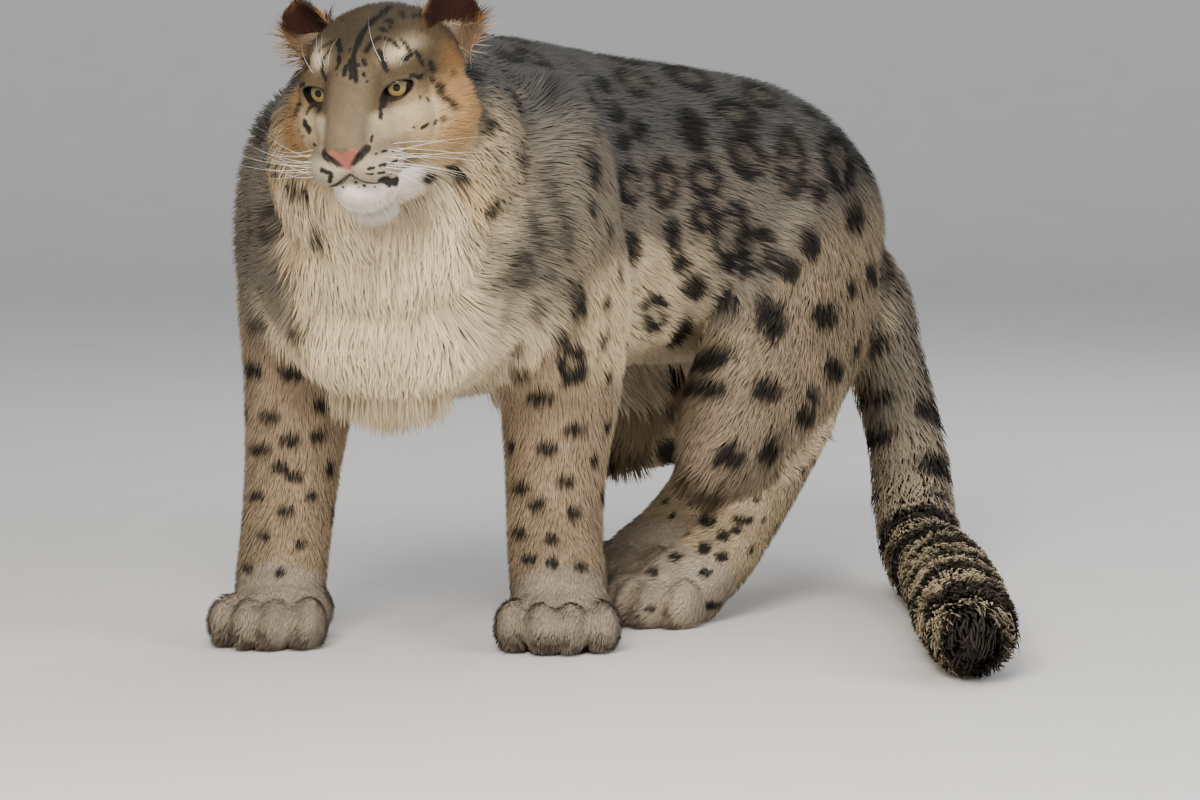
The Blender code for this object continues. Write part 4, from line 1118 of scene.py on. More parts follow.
# %% Marks on the sides that the picture doesn't show
# Region or limb: distance between marks, half size, share of rings
FAR_RULES = {
    "trunk": (0.054, 0.0190, 0.75),
    "neck": (0.045, 0.0110, 0.10),
    "thigh": (0.045, 0.0125, 0.15),
    "foreleg": (0.034, 0.0080, 0.0),
    "shank": (0.030, 0.0070, 0.0),
    "hind_foot": (0.022, 0.0050, 0.0),
    "tail": (0.042, 0.0110, 0.0),
}
FAR_TRIES = 9000
UNDERSIDE = -0.55  # where the trunk faces lower than this, it has no marks
draw = np.random.default_rng(8)
normals = np.empty(3 * len(skin.data.vertices), np.float32)
skin.data.vertices.foreach_get("normal", normals)
normals = normals.reshape(-1, 3).astype(float)
taken = [np.array(place) for place in mark_place]
for index in draw.permutation(len(points))[:FAR_TRIES]:
    name = regions[skin_region[index]]
    rule = rule_of(FAR_RULES, name)
    if rule is None or (name == "trunk" and normals[index, 2] < UNDERSIDE):
        continue
    apart, half, rings = rule
    spot = points[index]
    gaps = np.linalg.norm(np.array(taken) - spot, axis=1)
    if (gaps < apart).any():
        continue
    along_way = skin_way[index]
    along_way = unit(along_way - normals[index] * np.dot(along_way, normals[index]))
    other = np.cross(normals[index], along_way)
    wide = half * draw.uniform(0.85, 1.25)
    tall = half * draw.uniform(0.65, 0.95)
    add_mark(spot, wide, tall, along_way, other, int(draw.random() < rings))
    taken.append(spot)
print("marks in all:", len(mark_place))

# %% [markdown]
# One function gives the coat's colour at any point, and both the hide and the tufts ask it, so that the
# pattern agrees between them. It starts from each region's ground colour, shades it from a smoky back to
# a cream belly, and then lays the dark marks on top. A mark's edge is broken by noise, as black hairs mix
# with pale ones there.

# %% Ground colours
GROUND = {
    "back": (0.078, 0.075, 0.068),
    "flank": (0.176, 0.146, 0.109),
    "cream": (0.840, 0.670, 0.430),
    "leg": (0.350, 0.255, 0.158),
    "foot": (0.315, 0.255, 0.190),
    "hock": (0.430, 0.330, 0.200),
    "face": (0.096, 0.066, 0.035),
    "crown": (0.062, 0.048, 0.033),
    "gold": (0.600, 0.410, 0.200),
    "orange": (0.400, 0.195, 0.068),
    "pads": (0.470, 0.380, 0.270),
    "white": (0.920, 0.810, 0.680),
    "bridge": (0.168, 0.124, 0.074),
    "ring": (0.100, 0.078, 0.054),
    "black": (0.013, 0.012, 0.011),
    "leather": (0.360, 0.125, 0.088),
    # dark skin of the eye rims and the lip, also the painted shade in the nostrils and philtrum
    "rim": (0.012, 0.009, 0.007),
    "ear": (0.032, 0.012, 0.007),
    "ear_edge": (0.240, 0.130, 0.055),
}
GROUND = {name: np.array(value) for name, value in GROUND.items()}
ELBOW_CREAM = (0.375, 0.335)  # heights over which the pale patch behind the elbow fades in
ELBOW_PLACE = (-0.190, -0.145, 0.080, 0.150)  # and where along the body it fades in and out
GREY_FROM = (0.400, 0.500)  # heights over which it goes from tan to smoky grey
# First band and step, of the tail's length, and a band's half width in steps
TAIL_BANDS = (0.400, 0.105, 0.27)
TAIL_TIP = (0.950, 0.972)
CHEST_MIDDLE = np.array((-0.1945, -0.2175))
CHEST_ACROSS = np.array((0.916, 0.402))  # level line from the right front paw to the left one
CHEST_HALF = (0.112, 0.052)  # the cream chest fades out between these distances from its middle

# %% Noise and mixing
waves = np.random.default_rng(21)
WAVE_WAYS = unit(waves.normal(size=(24, 3)))
WAVE_SHIFTS = waves.uniform(0, 2 * math.pi, 24)


def wobble(points, size):
    """Smooth noise between about -1 and 1, with bumps of a given size in metres."""
    total = np.zeros(len(points))
    for k, (way, shift) in enumerate(zip(WAVE_WAYS, WAVE_SHIFTS)):
        total += np.sin(points @ way * (2 * math.pi / size * (0.7 + 0.6 * (k % 4) / 3)) + shift)
    return total / 5.0


def mixed(first, second, share):
    """Colours between two, for each point."""
    return first + (second - first) * share[:, None]


def either(test, first, second):
    """The first colour where a test holds and the second elsewhere."""
    return np.where(test[:, None], first, second)


def stroke_distance(points, run):
    """How far points are from a line of segments."""
    best = np.full(len(points), 9.0)
    for start, end in zip(run, run[1:]):
        span = end - start
        size = max(float(span @ span), 1e-12)
        t = np.clip((points - start) @ span / size, 0.0, 1.0)
        best = np.minimum(best, np.linalg.norm(points - start - t[:, None] * span, axis=1))
    return best


# %% Dark marks
def dark_marks(points):
    """How black the marks are at each point, and how much of a rosette's browner middle is there."""
    black, middle = np.zeros(len(points)), np.zeros(len(points))
    rough = 0.16 * wobble(points, 0.011) + 0.10 * wobble(points, 0.004)
    uneven = wobble(points, 0.030)
    for place, first, second, kind, reach in zip(mark_place, mark_u, mark_v, mark_kind, mark_reach):
        close = np.flatnonzero((np.abs(points - place) < reach).all(1))
        if not len(close):
            continue
        apart = points[close] - place
        far = np.sqrt((apart @ first) ** 2 + (apart @ second) ** 2) + rough[close]
        inside = np.linalg.norm(apart, axis=1) < reach
        if kind:
            band = smooth(np.abs(far - 0.86), 0.46, 0.27) * smooth(uneven[close], -1.5, -0.9)
            middle[close] = np.maximum(middle[close], smooth(far, 1.05, 0.65) * inside)
        else:
            band = smooth(far, 1.18, 0.78)
        black[close] = np.maximum(black[close], band * inside)
    return black, middle


def tail_rings(points, region, along):
    """Dark bands round the tail's further half and its black tip."""
    first, step, half = TAIL_BANDS
    steps = (along - first) / step + 0.16 * wobble(points, 0.05) + 0.06 * wobble(points, 0.012)
    band = np.abs(steps - np.round(steps))
    ring = smooth(band, half + 0.06, half - 0.08) * smooth(along, first - 0.05, first - 0.03)
    tip = smooth(along, *TAIL_TIP)
    return np.where(region == regions.index("tail"), np.maximum(ring, tip), 0.0)


# %% Colours of the head
def face_colours(points, colour):
    """The head's ground colours."""
    place = in_head(points)
    ahead, left, high = place.T
    side = np.abs(left)
    colour = mixed(colour, GROUND["face"], np.ones(len(points)))
    colour = mixed(colour, GROUND["crown"], 0.6 * smooth(high, 0.026, 0.048))
    gold = smooth(side, 0.026, 0.050) * smooth(high, 0.008, -0.024) * smooth(ahead, 0.045, 0.010)
    colour = mixed(colour, GROUND["gold"], 0.85 * gold)
    outer = smooth(side, 0.056, 0.072) * smooth(high, 0.050, 0.020) * smooth(high, -0.100, -0.050)
    colour = mixed(colour, GROUND["orange"], 0.65 * outer)
    colour = mixed(colour, GROUND["bridge"], smooth(side, 0.025, 0.013) * smooth(ahead, 0.006, 0.030))
    below_eye = smooth(high, -0.010, -0.018) * smooth(high, -0.052, -0.030) * smooth(side, 0.016, 0.024)
    colour = mixed(colour, GROUND["cream"], 0.40 * below_eye * smooth(ahead, -0.040, -0.010))
    brow = np.exp(-(((side - 0.036) / 0.011) ** 2 + ((high - 0.028) / 0.007) ** 2)) * (ahead > -0.05)
    colour = mixed(colour, GROUND["cream"], 0.80 * brow)
    pads = smooth(high, -0.040, -0.050) * smooth(ahead, 0.022, 0.040)
    colour = mixed(colour, GROUND["pads"], 0.90 * pads)
    chin = smooth(high, -0.071, -0.077) * smooth(side, 0.052, 0.034)
    colour = mixed(colour, GROUND["white"], chin * smooth(ahead, -0.060, -0.010))
    return mixed(colour, GROUND["cream"], 0.9 * smooth(high, -0.080, -0.105) * smooth(ahead, -0.010, -0.050))


def strokes_on(points):
    """How black the head's strokes are."""
    black = np.zeros(len(points))
    rough = 0.18 * wobble(points, 0.005)
    for half, run in strokes:
        low, high = run.min(0) - 0.016, run.max(0) + 0.016
        close = np.flatnonzero(((points > low) & (points < high)).all(1))
        if len(close):
            far = stroke_distance(points[close], run) / half + rough[close]
            black[close] = np.maximum(black[close], smooth(far, 1.30, 0.80))
    return black


def eye_rims(points):
    """The bare dark skin round each eye, with its corner that runs down to the nose."""
    dark = np.zeros(len(points))
    for side in (1, -1):
        inverse = np.array((eye_place(side) @ Matrix.Rotation(LID_SLANT * side, 4, "X")).inverted())
        place = points @ inverse[:3, :3].T + inverse[:3, 3]
        across = (place[:, 1] - LID_SHIFT * side) / (LID_WIDTH / 2)
        high = place[:, 2] / (LID_HEIGHT / 2) / np.where(place[:, 2] > 0, LID_UPPER, 1.0)
        far = np.sqrt(across**2 + high**2)
        rim = smooth(far, 1.36, 1.12) * (place[:, 0] > 0.002)
        corner = place - np.array((0.0, (LID_SHIFT - LID_WIDTH / 2 - 0.002) * side, -0.004))
        tear = smooth(np.linalg.norm(corner[:, 1:] / np.array((0.0035, 0.0055)), axis=1), 1.2, 0.7)
        dark = np.maximum(dark, np.maximum(rim, tear * (place[:, 0] > 0.0)))
    return dark


def leather(points):
    """The bare nose's heart shape; the dark lip skin, and painted shade in the nostrils and philtrum."""
    place = in_head(points)
    ahead, left, high = place.T
    rise = np.clip((high + 0.0570) / 0.0150, 0.0, 1.0)
    half = 0.0022 + 0.0145 * rise
    brow = -0.0385 - 0.0018 * np.cos(left * 380.0)
    nose = smooth(np.abs(left) / half, 1.10, 0.90) * smooth(high, -0.0590, -0.0570)
    nose *= smooth(high, brow, brow - 0.0015)
    nose *= smooth(ahead, 0.050, 0.056)
    dark = np.zeros(len(points))
    # the mouth's line is the lip's own dark skin; along the nostrils and the philtrum the dark is painted
    # shade in their grooves
    for line, spread in ((NOSTRIL, 1.7), (MOUTH_LINE, 1.5), (PHILTRUM, 1.1)):
        rows = spline(line, steps=4)
        for side in (1, -1):
            run = rows[:, :3] * np.array((1.0, side, 1.0))
            found = np.flatnonzero(np.abs(ahead - run[:, 0].mean()) < 0.06)
            flat = place[found] * np.array((0.35, 1.0, 1.0))
            far = stroke_distance(flat, run * np.array((0.35, 1.0, 1.0)))
            half = rows[:, 3].mean() * spread
            dark[found] = np.maximum(dark[found], smooth(far / half, 1.35, 0.85))
    return nose, dark * (ahead > 0.005)


def ear_colours(points, normals):
    """How much of the dark hollow and of the black back edge is at each point of the ears."""
    hollow, outer = np.zeros(len(points)), np.zeros(len(points))
    place = in_head(points)
    for side in (1, -1):
        mine = place[:, 1] * side > 0
        inverse = np.array(ear_place(side).inverted())
        local = points[mine] @ inverse[:3, :3].T + inverse[:3, 3]
        facing = normals[mine] @ inverse[:3, :3].T
        across = np.abs(local[:, 1]) / (EAR_WIDTH / 2)
        high = local[:, 2] / EAR_HEIGHT
        inside = facing[:, 0] > 0.0
        hollow[mine] = inside * smooth(across, 0.95, 0.70) * smooth(high, 0.90, 0.65)
        outer[mine] = ~inside * smooth(high, 0.05, 0.25) * 0.85
    return hollow, outer


# %% [markdown]
# The body's colour is built in the order in which it would be painted: the back and flanks, the cream
# chest with its golden edge, the legs and feet, the tail, and the dark marks over all. The head comes last,
# since its ground covers the neck's and its bare skin covers everything.

# %% Colours of the body
class Spots:
    """Points of the coat, and what the rules for their colour ask about them."""

    def __init__(self, points, region, along, normals):
        self.points, self.region, self.along, self.normals = points, region, along, normals
        self.behind, self.low, self.up = points[:, 1], points[:, 2], normals[:, 2]
        self.lifted = self.low + 0.05 * self.up + 0.012 * wobble(points, 0.09)
        middle = np.abs((points[:, :2] - CHEST_MIDDLE) @ CHEST_ACROSS)
        self.on_chest = smooth(middle + 0.010 * wobble(points, 0.05), *CHEST_HALF)
        self.place = in_head(points)

    def on(self, *parts):
        """Whether each point is on one of these regions or limbs."""
        return np.array([name.startswith(parts) for name in regions])[self.region]


def body_ground(spots):
    """A smoky back over tan flanks, a browner shoulder, a cream belly, and the thighs' own tone."""
    behind, lifted = spots.behind, spots.lifted
    smoky = smooth(lifted - 0.05 * smooth(behind, -0.08, -0.16), *GREY_FROM)
    colour = mixed(GROUND["flank"], GROUND["back"], smoky)
    shoulder = smooth(behind, -0.08, -0.14) * smooth(behind, -0.23, -0.19) * smooth(lifted, 0.46, 0.36)
    colour = mixed(colour, GROUND["leg"], 0.35 * shoulder)
    colour = mixed(colour, GROUND["cream"], 0.95 * smooth(spots.up, -0.20, -0.65))
    thigh = mixed(GROUND["flank"], GROUND["leg"], 0.55 * smooth(spots.low, 0.36, 0.20))
    thigh = mixed(thigh, GROUND["leg"], 0.65 * smooth(behind, 0.12, 0.22))
    thigh = mixed(thigh, GROUND["back"], smooth(lifted, 0.34, 0.45))
    return either(spots.on("thigh"), thigh, colour)


def chest_shares(spots):
    """How much of the cream front is at each point, and of the long fur on chest and belly."""
    facing = spots.normals[:, 0] * CHEST_ACROSS[1] - spots.normals[:, 1] * CHEST_ACROSS[0]
    front = smooth(facing, -0.10, 0.45) * spots.on_chest * spots.on("neck", "trunk", "chest")
    front *= smooth(spots.low, 0.23, 0.29) * smooth(spots.low, 0.525, 0.475)
    return front, spots.on("chest") * spots.on_chest + spots.on("belly") * 0.75


def chest_ground(spots, colour, front, bib):
    """Cream on chest and belly, golden high on the chest and beside the head."""
    colour = mixed(colour, GROUND["cream"], front * 0.92)
    colour = mixed(colour, GROUND["gold"], 0.60 * front * smooth(spots.low, 0.31, 0.42))
    beside_head = np.exp(-((spots.place[:, 0] + 0.10) / 0.035) ** 2) * spots.on("neck", "chest")
    colour = mixed(colour, GROUND["gold"], 0.55 * beside_head * smooth(spots.low, 0.54, 0.46))
    colour = mixed(colour, GROUND["cream"], bib * 0.85)
    return mixed(colour, GROUND["white"], spots.on("belly") * 0.3)


def leg_ground(spots, colour):
    """The legs' tan, paler shanks and feet, and the pale patch behind the elbow."""
    low, behind = spots.low, spots.behind
    leg = mixed(GROUND["leg"], GROUND["flank"], smooth(low, 0.26, 0.40) * 0.8)
    leg *= (0.74 + 0.26 * smooth(low, 0.05, 0.20))[:, None]
    colour = either(spots.on("foreleg", "shank"), mixed(colour, leg, smooth(low, 0.42, 0.32)), colour)
    pale = mixed(colour, GROUND["cream"], np.full(len(low), 0.55))
    colour = either(spots.on("shank"), pale, colour)
    start, full, last, gone = ELBOW_PLACE
    elbow = smooth(behind, start, full) * smooth(behind, gone, last) * smooth(spots.lifted, *ELBOW_CREAM)
    elbow *= smooth(low, 0.22, 0.27)
    colour = mixed(colour, 0.7 * GROUND["cream"] + 0.3 * GROUND["gold"], 0.80 * elbow)
    feet = {"paw": GROUND["foot"], "paw_hind": GROUND["foot"] * 1.30, "hind_foot": GROUND["hock"]}
    for part, tone in feet.items():
        colour = either(spots.on(part), tone, colour)
    return colour


def tail_ground(spots, colour):
    """Grey along the tail's top near the rump and cream elsewhere."""
    grey = smooth(spots.up, -0.6, 0.1) * smooth(spots.along, 0.8, 0.1)
    return either(spots.on("tail"), mixed(GROUND["cream"] * 0.75, GROUND["flank"] * 0.85, grey), colour)


def painted(points, region, along, normals):
    """The coat's colour at each point, and how bare the skin is there."""
    spots = Spots(points, region, along, normals)
    front, bib = chest_shares(spots)
    colour = chest_ground(spots, body_ground(spots), front, bib)
    colour = tail_ground(spots, leg_ground(spots, colour))
    black, middle = dark_marks(points)
    black = np.maximum(black, tail_rings(points, region, along))
    faded = 0.72 + 0.28 * smooth(spots.behind, -0.22, -0.10)
    black *= np.where(spots.on("trunk", "neck"), faded, 1.0)
    black *= 1.0 - 0.70 * np.maximum(front, bib)
    at_head = spots.on("head")
    to_face = smooth(spots.place[:, 0], -0.115, -0.070) * at_head
    colour = mixed(colour, face_colours(points, colour), to_face)
    black *= 1.0 - to_face
    near_head = np.flatnonzero(spots.place[:, 0] > -0.16)
    black[near_head] = np.maximum(black[near_head], strokes_on(points[near_head]))
    colour = mixed(colour, GROUND["ring"], middle * 0.45)
    tone = 1.0 + 0.09 * wobble(points, 0.045) + 0.05 * wobble(points, 0.012)
    colour = mixed(colour * tone[:, None], GROUND["black"], np.clip(black, 0.0, 0.97))
    ear = on_ear(spots.place) & at_head
    if ear.any():
        hollow, outer = ear_colours(points[ear], normals[ear])
        colour[ear] = mixed(mixed(GROUND["ear_edge"], GROUND["black"], outer), GROUND["ear"], hollow)
    rim = eye_rims(points) * at_head
    colour = mixed(colour, GROUND["rim"], rim)
    nose, lip_skin_and_groove_shade = leather(points)
    colour = mixed(colour, GROUND["leather"], nose * at_head)
    # dark lip skin, and painted shade in the nostrils' and philtrum's grooves
    colour = mixed(colour, GROUND["rim"], lip_skin_and_groove_shade * at_head * 0.95)
    return colour, np.maximum(nose, np.maximum(rim, lip_skin_and_groove_shade)) * at_head


skin_colour, skin_bare = painted(points, skin_region, skin_along, normals)
print("hide painted; bare points:", int((skin_bare > 0.5).sum()))


def store(mesh, name, values, kind="FLOAT"):
    """Keeps one number or colour for each point of a mesh."""
    layer = mesh.attributes.new(name, kind, "POINT")
    if kind == "FLOAT_COLOR":
        values = np.column_stack([values, np.ones(len(values))])
        layer.data.foreach_set("color", values.astype(np.float32).ravel())
    else:
        layer.data.foreach_set("value", np.asarray(values, np.float32))


# %% Finish of the hide
skin.data.materials.clear()
store(skin.data, "coat", np.clip(skin_colour, 0.0, 1.0), "FLOAT_COLOR")
store(skin.data, "bare", skin_bare)
hide = Finish("short_coat", Specular_IOR_Level=0.25)
bare = hide.attribute("bare")
hairs = hide.node("TexNoise", None, Vector=hide.place(), Scale=620.0, Detail=3.0)
pebbles = hide.node("TexVoronoi", None, Vector=hide.place(), Scale=1150.0)
shade = hide.mix(hairs, (0.62, 0.62, 0.62, 1.0), (1.15, 1.15, 1.15, 1.0))
ground = hide.attribute("coat", "Color")
furry = hide.mix(1.0, ground, shade, "MULTIPLY")
colour = hide.mix(bare, furry, ground)
height = hairs * (1 - bare) + pebbles * bare * 0.4
rough = 0.85 - bare * 0.48
hide.link(Base_Color=colour, Roughness=rough, Normal=hide.bump(height, 0.5, 0.0012))
skin.data.materials.append(hide.material)
skin.data.shade_smooth()
skin.data.set_sharp_from_angle(angle=math.radians(55))
print("hide finished")

# %% [markdown]
# The coat is about a quarter of a million tufts. Each is a thin closed blade with a ridge, rooted a little
# under the hide, that rises, bends along the lie of the coat and ends in a point. They are made as arrays,
# all tufts of a piece at once: a loop over single tufts would take minutes. Blender's own hair would be
# finer, but it isn't a mesh and is lost when the model leaves Blender.

# %% Roots of the tufts
# Region or limb: tufts for each square metre, width at the thickest, and rings of points under the tip
TUFT_RULES = {
    "trunk": (150000, 0.0032, 1),
    "neck": (90000, 0.0026, 3),
    "chest": (100000, 0.0027, 3),
    "belly": (110000, 0.0036, 1),
    "tail": (80000, 0.0027, 3),
    "thigh": (165000, 0.0030, 1),
    "shank": (160000, 0.0027, 1),
    "foreleg": (160000, 0.0026, 1),
    "hind_foot": (210000, 0.0021, 1),
    "paw": (240000, 0.0018, 1),
    "head": (560000, 0.0012, 1),
}
ROOT_DEPTH = 0.0012
FLOOR_GAP = 0.0005  # no tuft goes lower than this
BLADE_RIDGE = 0.35  # height of the ridge, of the width
SIDE_LEAN, TIP_LEAN = 0.30, 0.20  # how far a tuft's shading turns from the hide's
quick_share = 1.0

rules = [rule_of(TUFT_RULES, name) for name in regions]
density = np.array([rule[0] for rule in rules], float)
width_of = np.array([rule[1] for rule in rules])
rings_of = np.array([rule[2] for rule in rules])
mesh = skin.data
mesh.calc_loop_triangles()
corners = np.empty(3 * len(mesh.loop_triangles), np.int32)
mesh.loop_triangles.foreach_get("vertices", corners)
corners = corners.reshape(-1, 3)
one, two, three = (points[corners[:, k]] for k in range(3))
areas = np.linalg.norm(np.cross(two - one, three - one), axis=1) / 2
wanted = areas * density[skin_region[corners[:, 0]]] * (skin_bare[corners].mean(1) < 0.35) * quick_share
total = wanted.cumsum()
draw = np.random.default_rng(5)
marks = np.arange(int(total[-1])) + draw.uniform(0.0, 1.0, int(total[-1]))
face = np.minimum(np.searchsorted(total, marks), len(corners) - 1)
first, second = draw.random(len(face)), draw.random(len(face))
fold = first + second > 1.0
first[fold], second[fold] = 1.0 - first[fold], 1.0 - second[fold]
shares = np.column_stack([1.0 - first - second, first, second])
root = (points[corners[face]] * shares[:, :, None]).sum(1)
root_normal = unit((normals[corners[face]] * shares[:, :, None]).sum(1))
root_hair, root_way, root_region, root_along = told(root)
print(len(root), "tufts")

# %% Shape of the tufts
lift = (root_way * root_normal).sum(1, keepdims=True)
root_way = unit(root_way - root_normal * np.where(lift > 0.8, 0.0, lift))
side_way = unit(np.cross(root_way, root_normal))
length = root_hair[:, 0] * draw.uniform(0.75, 1.20, len(root))
height = root_hair[:, 1] * draw.uniform(0.70, 1.05, len(root))
width = width_of[root_region] * draw.uniform(0.7, 1.25, len(root))
clump = 0.13 * wobble(root, 0.035) + 0.10 * wobble(root, 0.012)
sway = length * (clump + draw.normal(0.0, 0.07, len(root)))
tuft_tone = draw.uniform(0.86, 1.12, len(root))[:, None]


def spine(t):
    """A point on every tuft's middle line: t is 0 at the root and 1 at the tip."""
    rise = 1.0 - (1.0 - t) ** 2.2
    middle = root + root_way * (length * t)[:, None] + root_normal * (height * rise)[:, None]
    return middle + side_way * (sway * t * t)[:, None]


# %% Tufts as meshes
PIECE_LIMIT = 190000  # triangles
PATCH = 0.003  # size of a tuft's patch on its colour map
COAT_PIECES = {
    "coat_head": ["head"],
    "coat_neck": ["neck"],
    "coat_chest": ["chest"],
    "coat_trunk": ["trunk", "belly"],
    "coat_thighs": ["thigh_left", "thigh_right"],
    "coat_forelegs": ["foreleg_left", "foreleg_right", "paw_front_left", "paw_front_right"],
    "coat_hind_legs": ["shank_left", "shank_right", "hind_foot_left", "hind_foot_right",
                       "paw_hind_left", "paw_hind_right"],
    "coat_tail": ["tail"],
}
RING_T = {3: (0.0, 0.30, 0.68), 1: (0.0,)}  # where the rings of points are, as shares of the length
RING_WIDTH = {3: (0.75, 1.0, 0.62), 1: (1.0,)}
COLOUR_T = {3: (0.30, 0.30, 0.68, 1.0), 1: (0.50, 0.92)}  # where the rings and the tip take their colour


def around(names, places, region, along):
    """An unwrap of the hide's own shape: along each guide one way and round it the other."""
    column = np.array([names.index(regions[k]) for k in region])
    flat = np.empty((len(places), 2))
    for k, name in enumerate(names):
        mine = column == k
        p = places[mine]
        if name == "head":
            local = in_head(p) - np.array(HEAD_CENTRE)
            turn = np.arctan2(local[:, 1], local[:, 2])
            run = np.clip(0.5 + local[:, 0] / 0.26, 0.0, 1.0)
        else:
            index = regions.index(name)
            path = guide_place[guide_region == index]
            steps = guide_along[guide_region == index]
            middle = np.column_stack([np.interp(along[mine], steps, path[:, axis]) for axis in range(3)])
            ahead = unit((path[-1] - path[0])[None])
            level = unit(np.cross(ahead, np.array((0.31, 0.17, 0.93))[None]))
            rise = np.cross(level, ahead)
            turn = np.arctan2((p - middle) @ level[0], (p - middle) @ rise[0])
            run = ((p - path[0]) @ ahead[0]) / np.linalg.norm(path[-1] - path[0])
            run = np.clip(run * 0.9 + 0.05, 0.0, 1.0)
        flat[mine, 0] = (k + 0.02 + 0.96 * (turn / (2 * math.pi) + 0.5)) / len(names)
        flat[mine, 1] = 0.01 + 0.98 * run
    return flat


def tuft_piece(name, chosen, rings, flat):
    """One mesh of the chosen tufts."""
    count = len(chosen)
    layers, across, along, tones, leans = [], [], [], [], []

    def tone(t):
        """The tufts' colour, asked at a point of their middle lines that lies on the hide."""
        bend = side_way[chosen] * (sway[chosen] * t * t)[:, None]
        where = root[chosen] + root_way[chosen] * (length[chosen] * t)[:, None] + bend
        colour = painted(where, root_region[chosen], root_along[chosen], root_normal[chosen])[0]
        return colour * tuft_tone[chosen]

    def lean(t, across):
        """The way that the shading faces, near the hide's own."""
        aside = root_normal[chosen] + side_way[chosen] * (SIDE_LEAN * across)
        return unit(aside + root_way[chosen] * (TIP_LEAN * t))

    for t, wide, shade in zip(RING_T[rings], RING_WIDTH[rings], COLOUR_T[rings]):
        middle = spine(t)[chosen]
        if t == 0.0:
            middle = middle - root_normal[chosen] * ROOT_DEPTH
        half = (width[chosen] * wide / 2)[:, None]
        layers += [middle + side_way[chosen] * half,
                   middle + root_normal[chosen] * half * 2 * BLADE_RIDGE,
                   middle - side_way[chosen] * half]
        across += [1.0, 0.0, -1.0]
        along += [t] * 3
        tones += [tone(shade)] * 3
        leans += [lean(t, side) for side in (1.0, 0.0, -1.0)]
    layers.append(spine(1.0)[chosen])
    across.append(0.0)
    along.append(1.0)
    tones.append(tone(COLOUR_T[rings][-1]))
    leans.append(lean(1.0, 0.0))
    size = len(layers)
    place = np.stack(layers, axis=1)
    place[:, :, 2] = np.maximum(place[:, :, 2], FLOOR_GAP)
    faces = [(0, 1, 2)]
    for ring in range(rings - 1):
        low, high = 3 * ring, 3 * ring + 3
        for k in range(3):
            j = (k + 1) % 3
            faces += [(low + k, high + k, high + j), (low + k, high + j, low + j)]
    top = 3 * (rings - 1)
    faces += [(top + k, size - 1, top + (k + 1) % 3) for k in range(3)]
    faces = np.array(faces)
    triangles = (np.arange(count) * size)[:, None, None] + faces[None]
    mesh = bpy.data.meshes.new(name)
    mesh.vertices.add(count * size)
    mesh.vertices.foreach_set("co", place.astype(np.float32).ravel())
    mesh.loops.add(triangles.size)
    mesh.loops.foreach_set("vertex_index", triangles.astype(np.int32).ravel())
    mesh.polygons.add(count * len(faces))
    mesh.polygons.foreach_set("loop_start", np.arange(0, triangles.size, 3, dtype=np.int32))
    mesh.polygons.foreach_set("loop_total", np.full(count * len(faces), 3, np.int32))
    mesh.update(calc_edges=True)
    tones = np.stack(tones, axis=1).reshape(-1, 3)
    store(mesh, "coat", np.clip(tones, 0.0, 1.0), "FLOAT_COLOR")
    store(mesh, "along", np.tile(along, count))
    store(mesh, "across", np.tile(across, count))
    corner = np.column_stack([np.array(across) * 0.5, np.array(along) - 0.5]) * PATCH
    spread = flat[:, None, :] + corner[None]
    layer = mesh.uv_layers.new(name="OFBake")
    layer.data.foreach_set("uv", spread.reshape(-1, 2)[triangles.ravel()].astype(np.float32).ravel())
    mesh.shade_smooth()
    leans = np.stack(leans, axis=1).astype(np.float32)
    mesh.attributes.new("custom_normal", "FLOAT_VECTOR", "POINT").data.foreach_set("vector", leans.ravel())
    return new_object(name, mesh)


def coat_finish():
    """Hair: painted shade darkens it at the root, deep in the coat, and painted light brightens its tip."""
    fur = Finish("long_coat", Roughness=0.88, Specular_IOR_Level=0.12)
    along, across = fur.attribute("along"), fur.attribute("across")
    strands = fur.node("TexNoise", None, Vector=fur.place(), Scale=900.0, Detail=2.0)
    # painted shade and light along each tuft: 0.68 of its colour at the root, 1.10 from seven tenths of its
    # length on
    depth = fur.mix(along.step(0.0, 0.7), (0.68, 0.66, 0.64, 1.0), (1.10, 1.10, 1.10, 1.0))
    coat_with_painted_shade = fur.mix(1.0, fur.attribute("coat", "Color"), depth, "MULTIPLY")
    streak = fur.mix(strands, (0.84, 0.84, 0.84, 1.0), (1.12, 1.12, 1.12, 1.0))
    fur.link(Base_Color=fur.mix(1.0, coat_with_painted_shade, streak, "MULTIPLY"),
             Normal=fur.bump(strands + across * 0.1, 0.25, 0.0008))
    return fur.material


coat_material = coat_finish()
coat_objects = []
for name, members in COAT_PIECES.items():
    codes = [regions.index(member) for member in members]
    mine = np.flatnonzero(np.isin(root_region, codes))
    rings = int(rings_of[codes[0]])
    each = 1 + 6 * (rings - 1) + 3
    parts = max(1, math.ceil(len(mine) * each / PIECE_LIMIT))
    order = mine[np.argsort(root[mine] @ np.array((0.2, 1.0, 0.1)))]
    for k, chosen in enumerate(np.array_split(order, parts)):
        flat = around(members, root[chosen], root_region[chosen], root_along[chosen])
        label = name if parts == 1 else f"{name}_{k + 1}"
        piece = tuft_piece(label, chosen, rings, flat)
        piece.data.materials.append(coat_material)
        coat_objects.append(piece)
        print(label, len(chosen), "tufts,", len(piece.data.polygons), "triangles")

# %% [markdown]
# Whiskers stand in rows on the pads of the upper lip and in a small group over each eye. They repeat one
# shape, so Geometry Nodes makes them: a bent curve that thins to nothing is swept with a small circle, put
# on every root, turned along that root's own way and stretched to its own length. A particle system could
# do it too, but it leaves hair that other programs can't read.

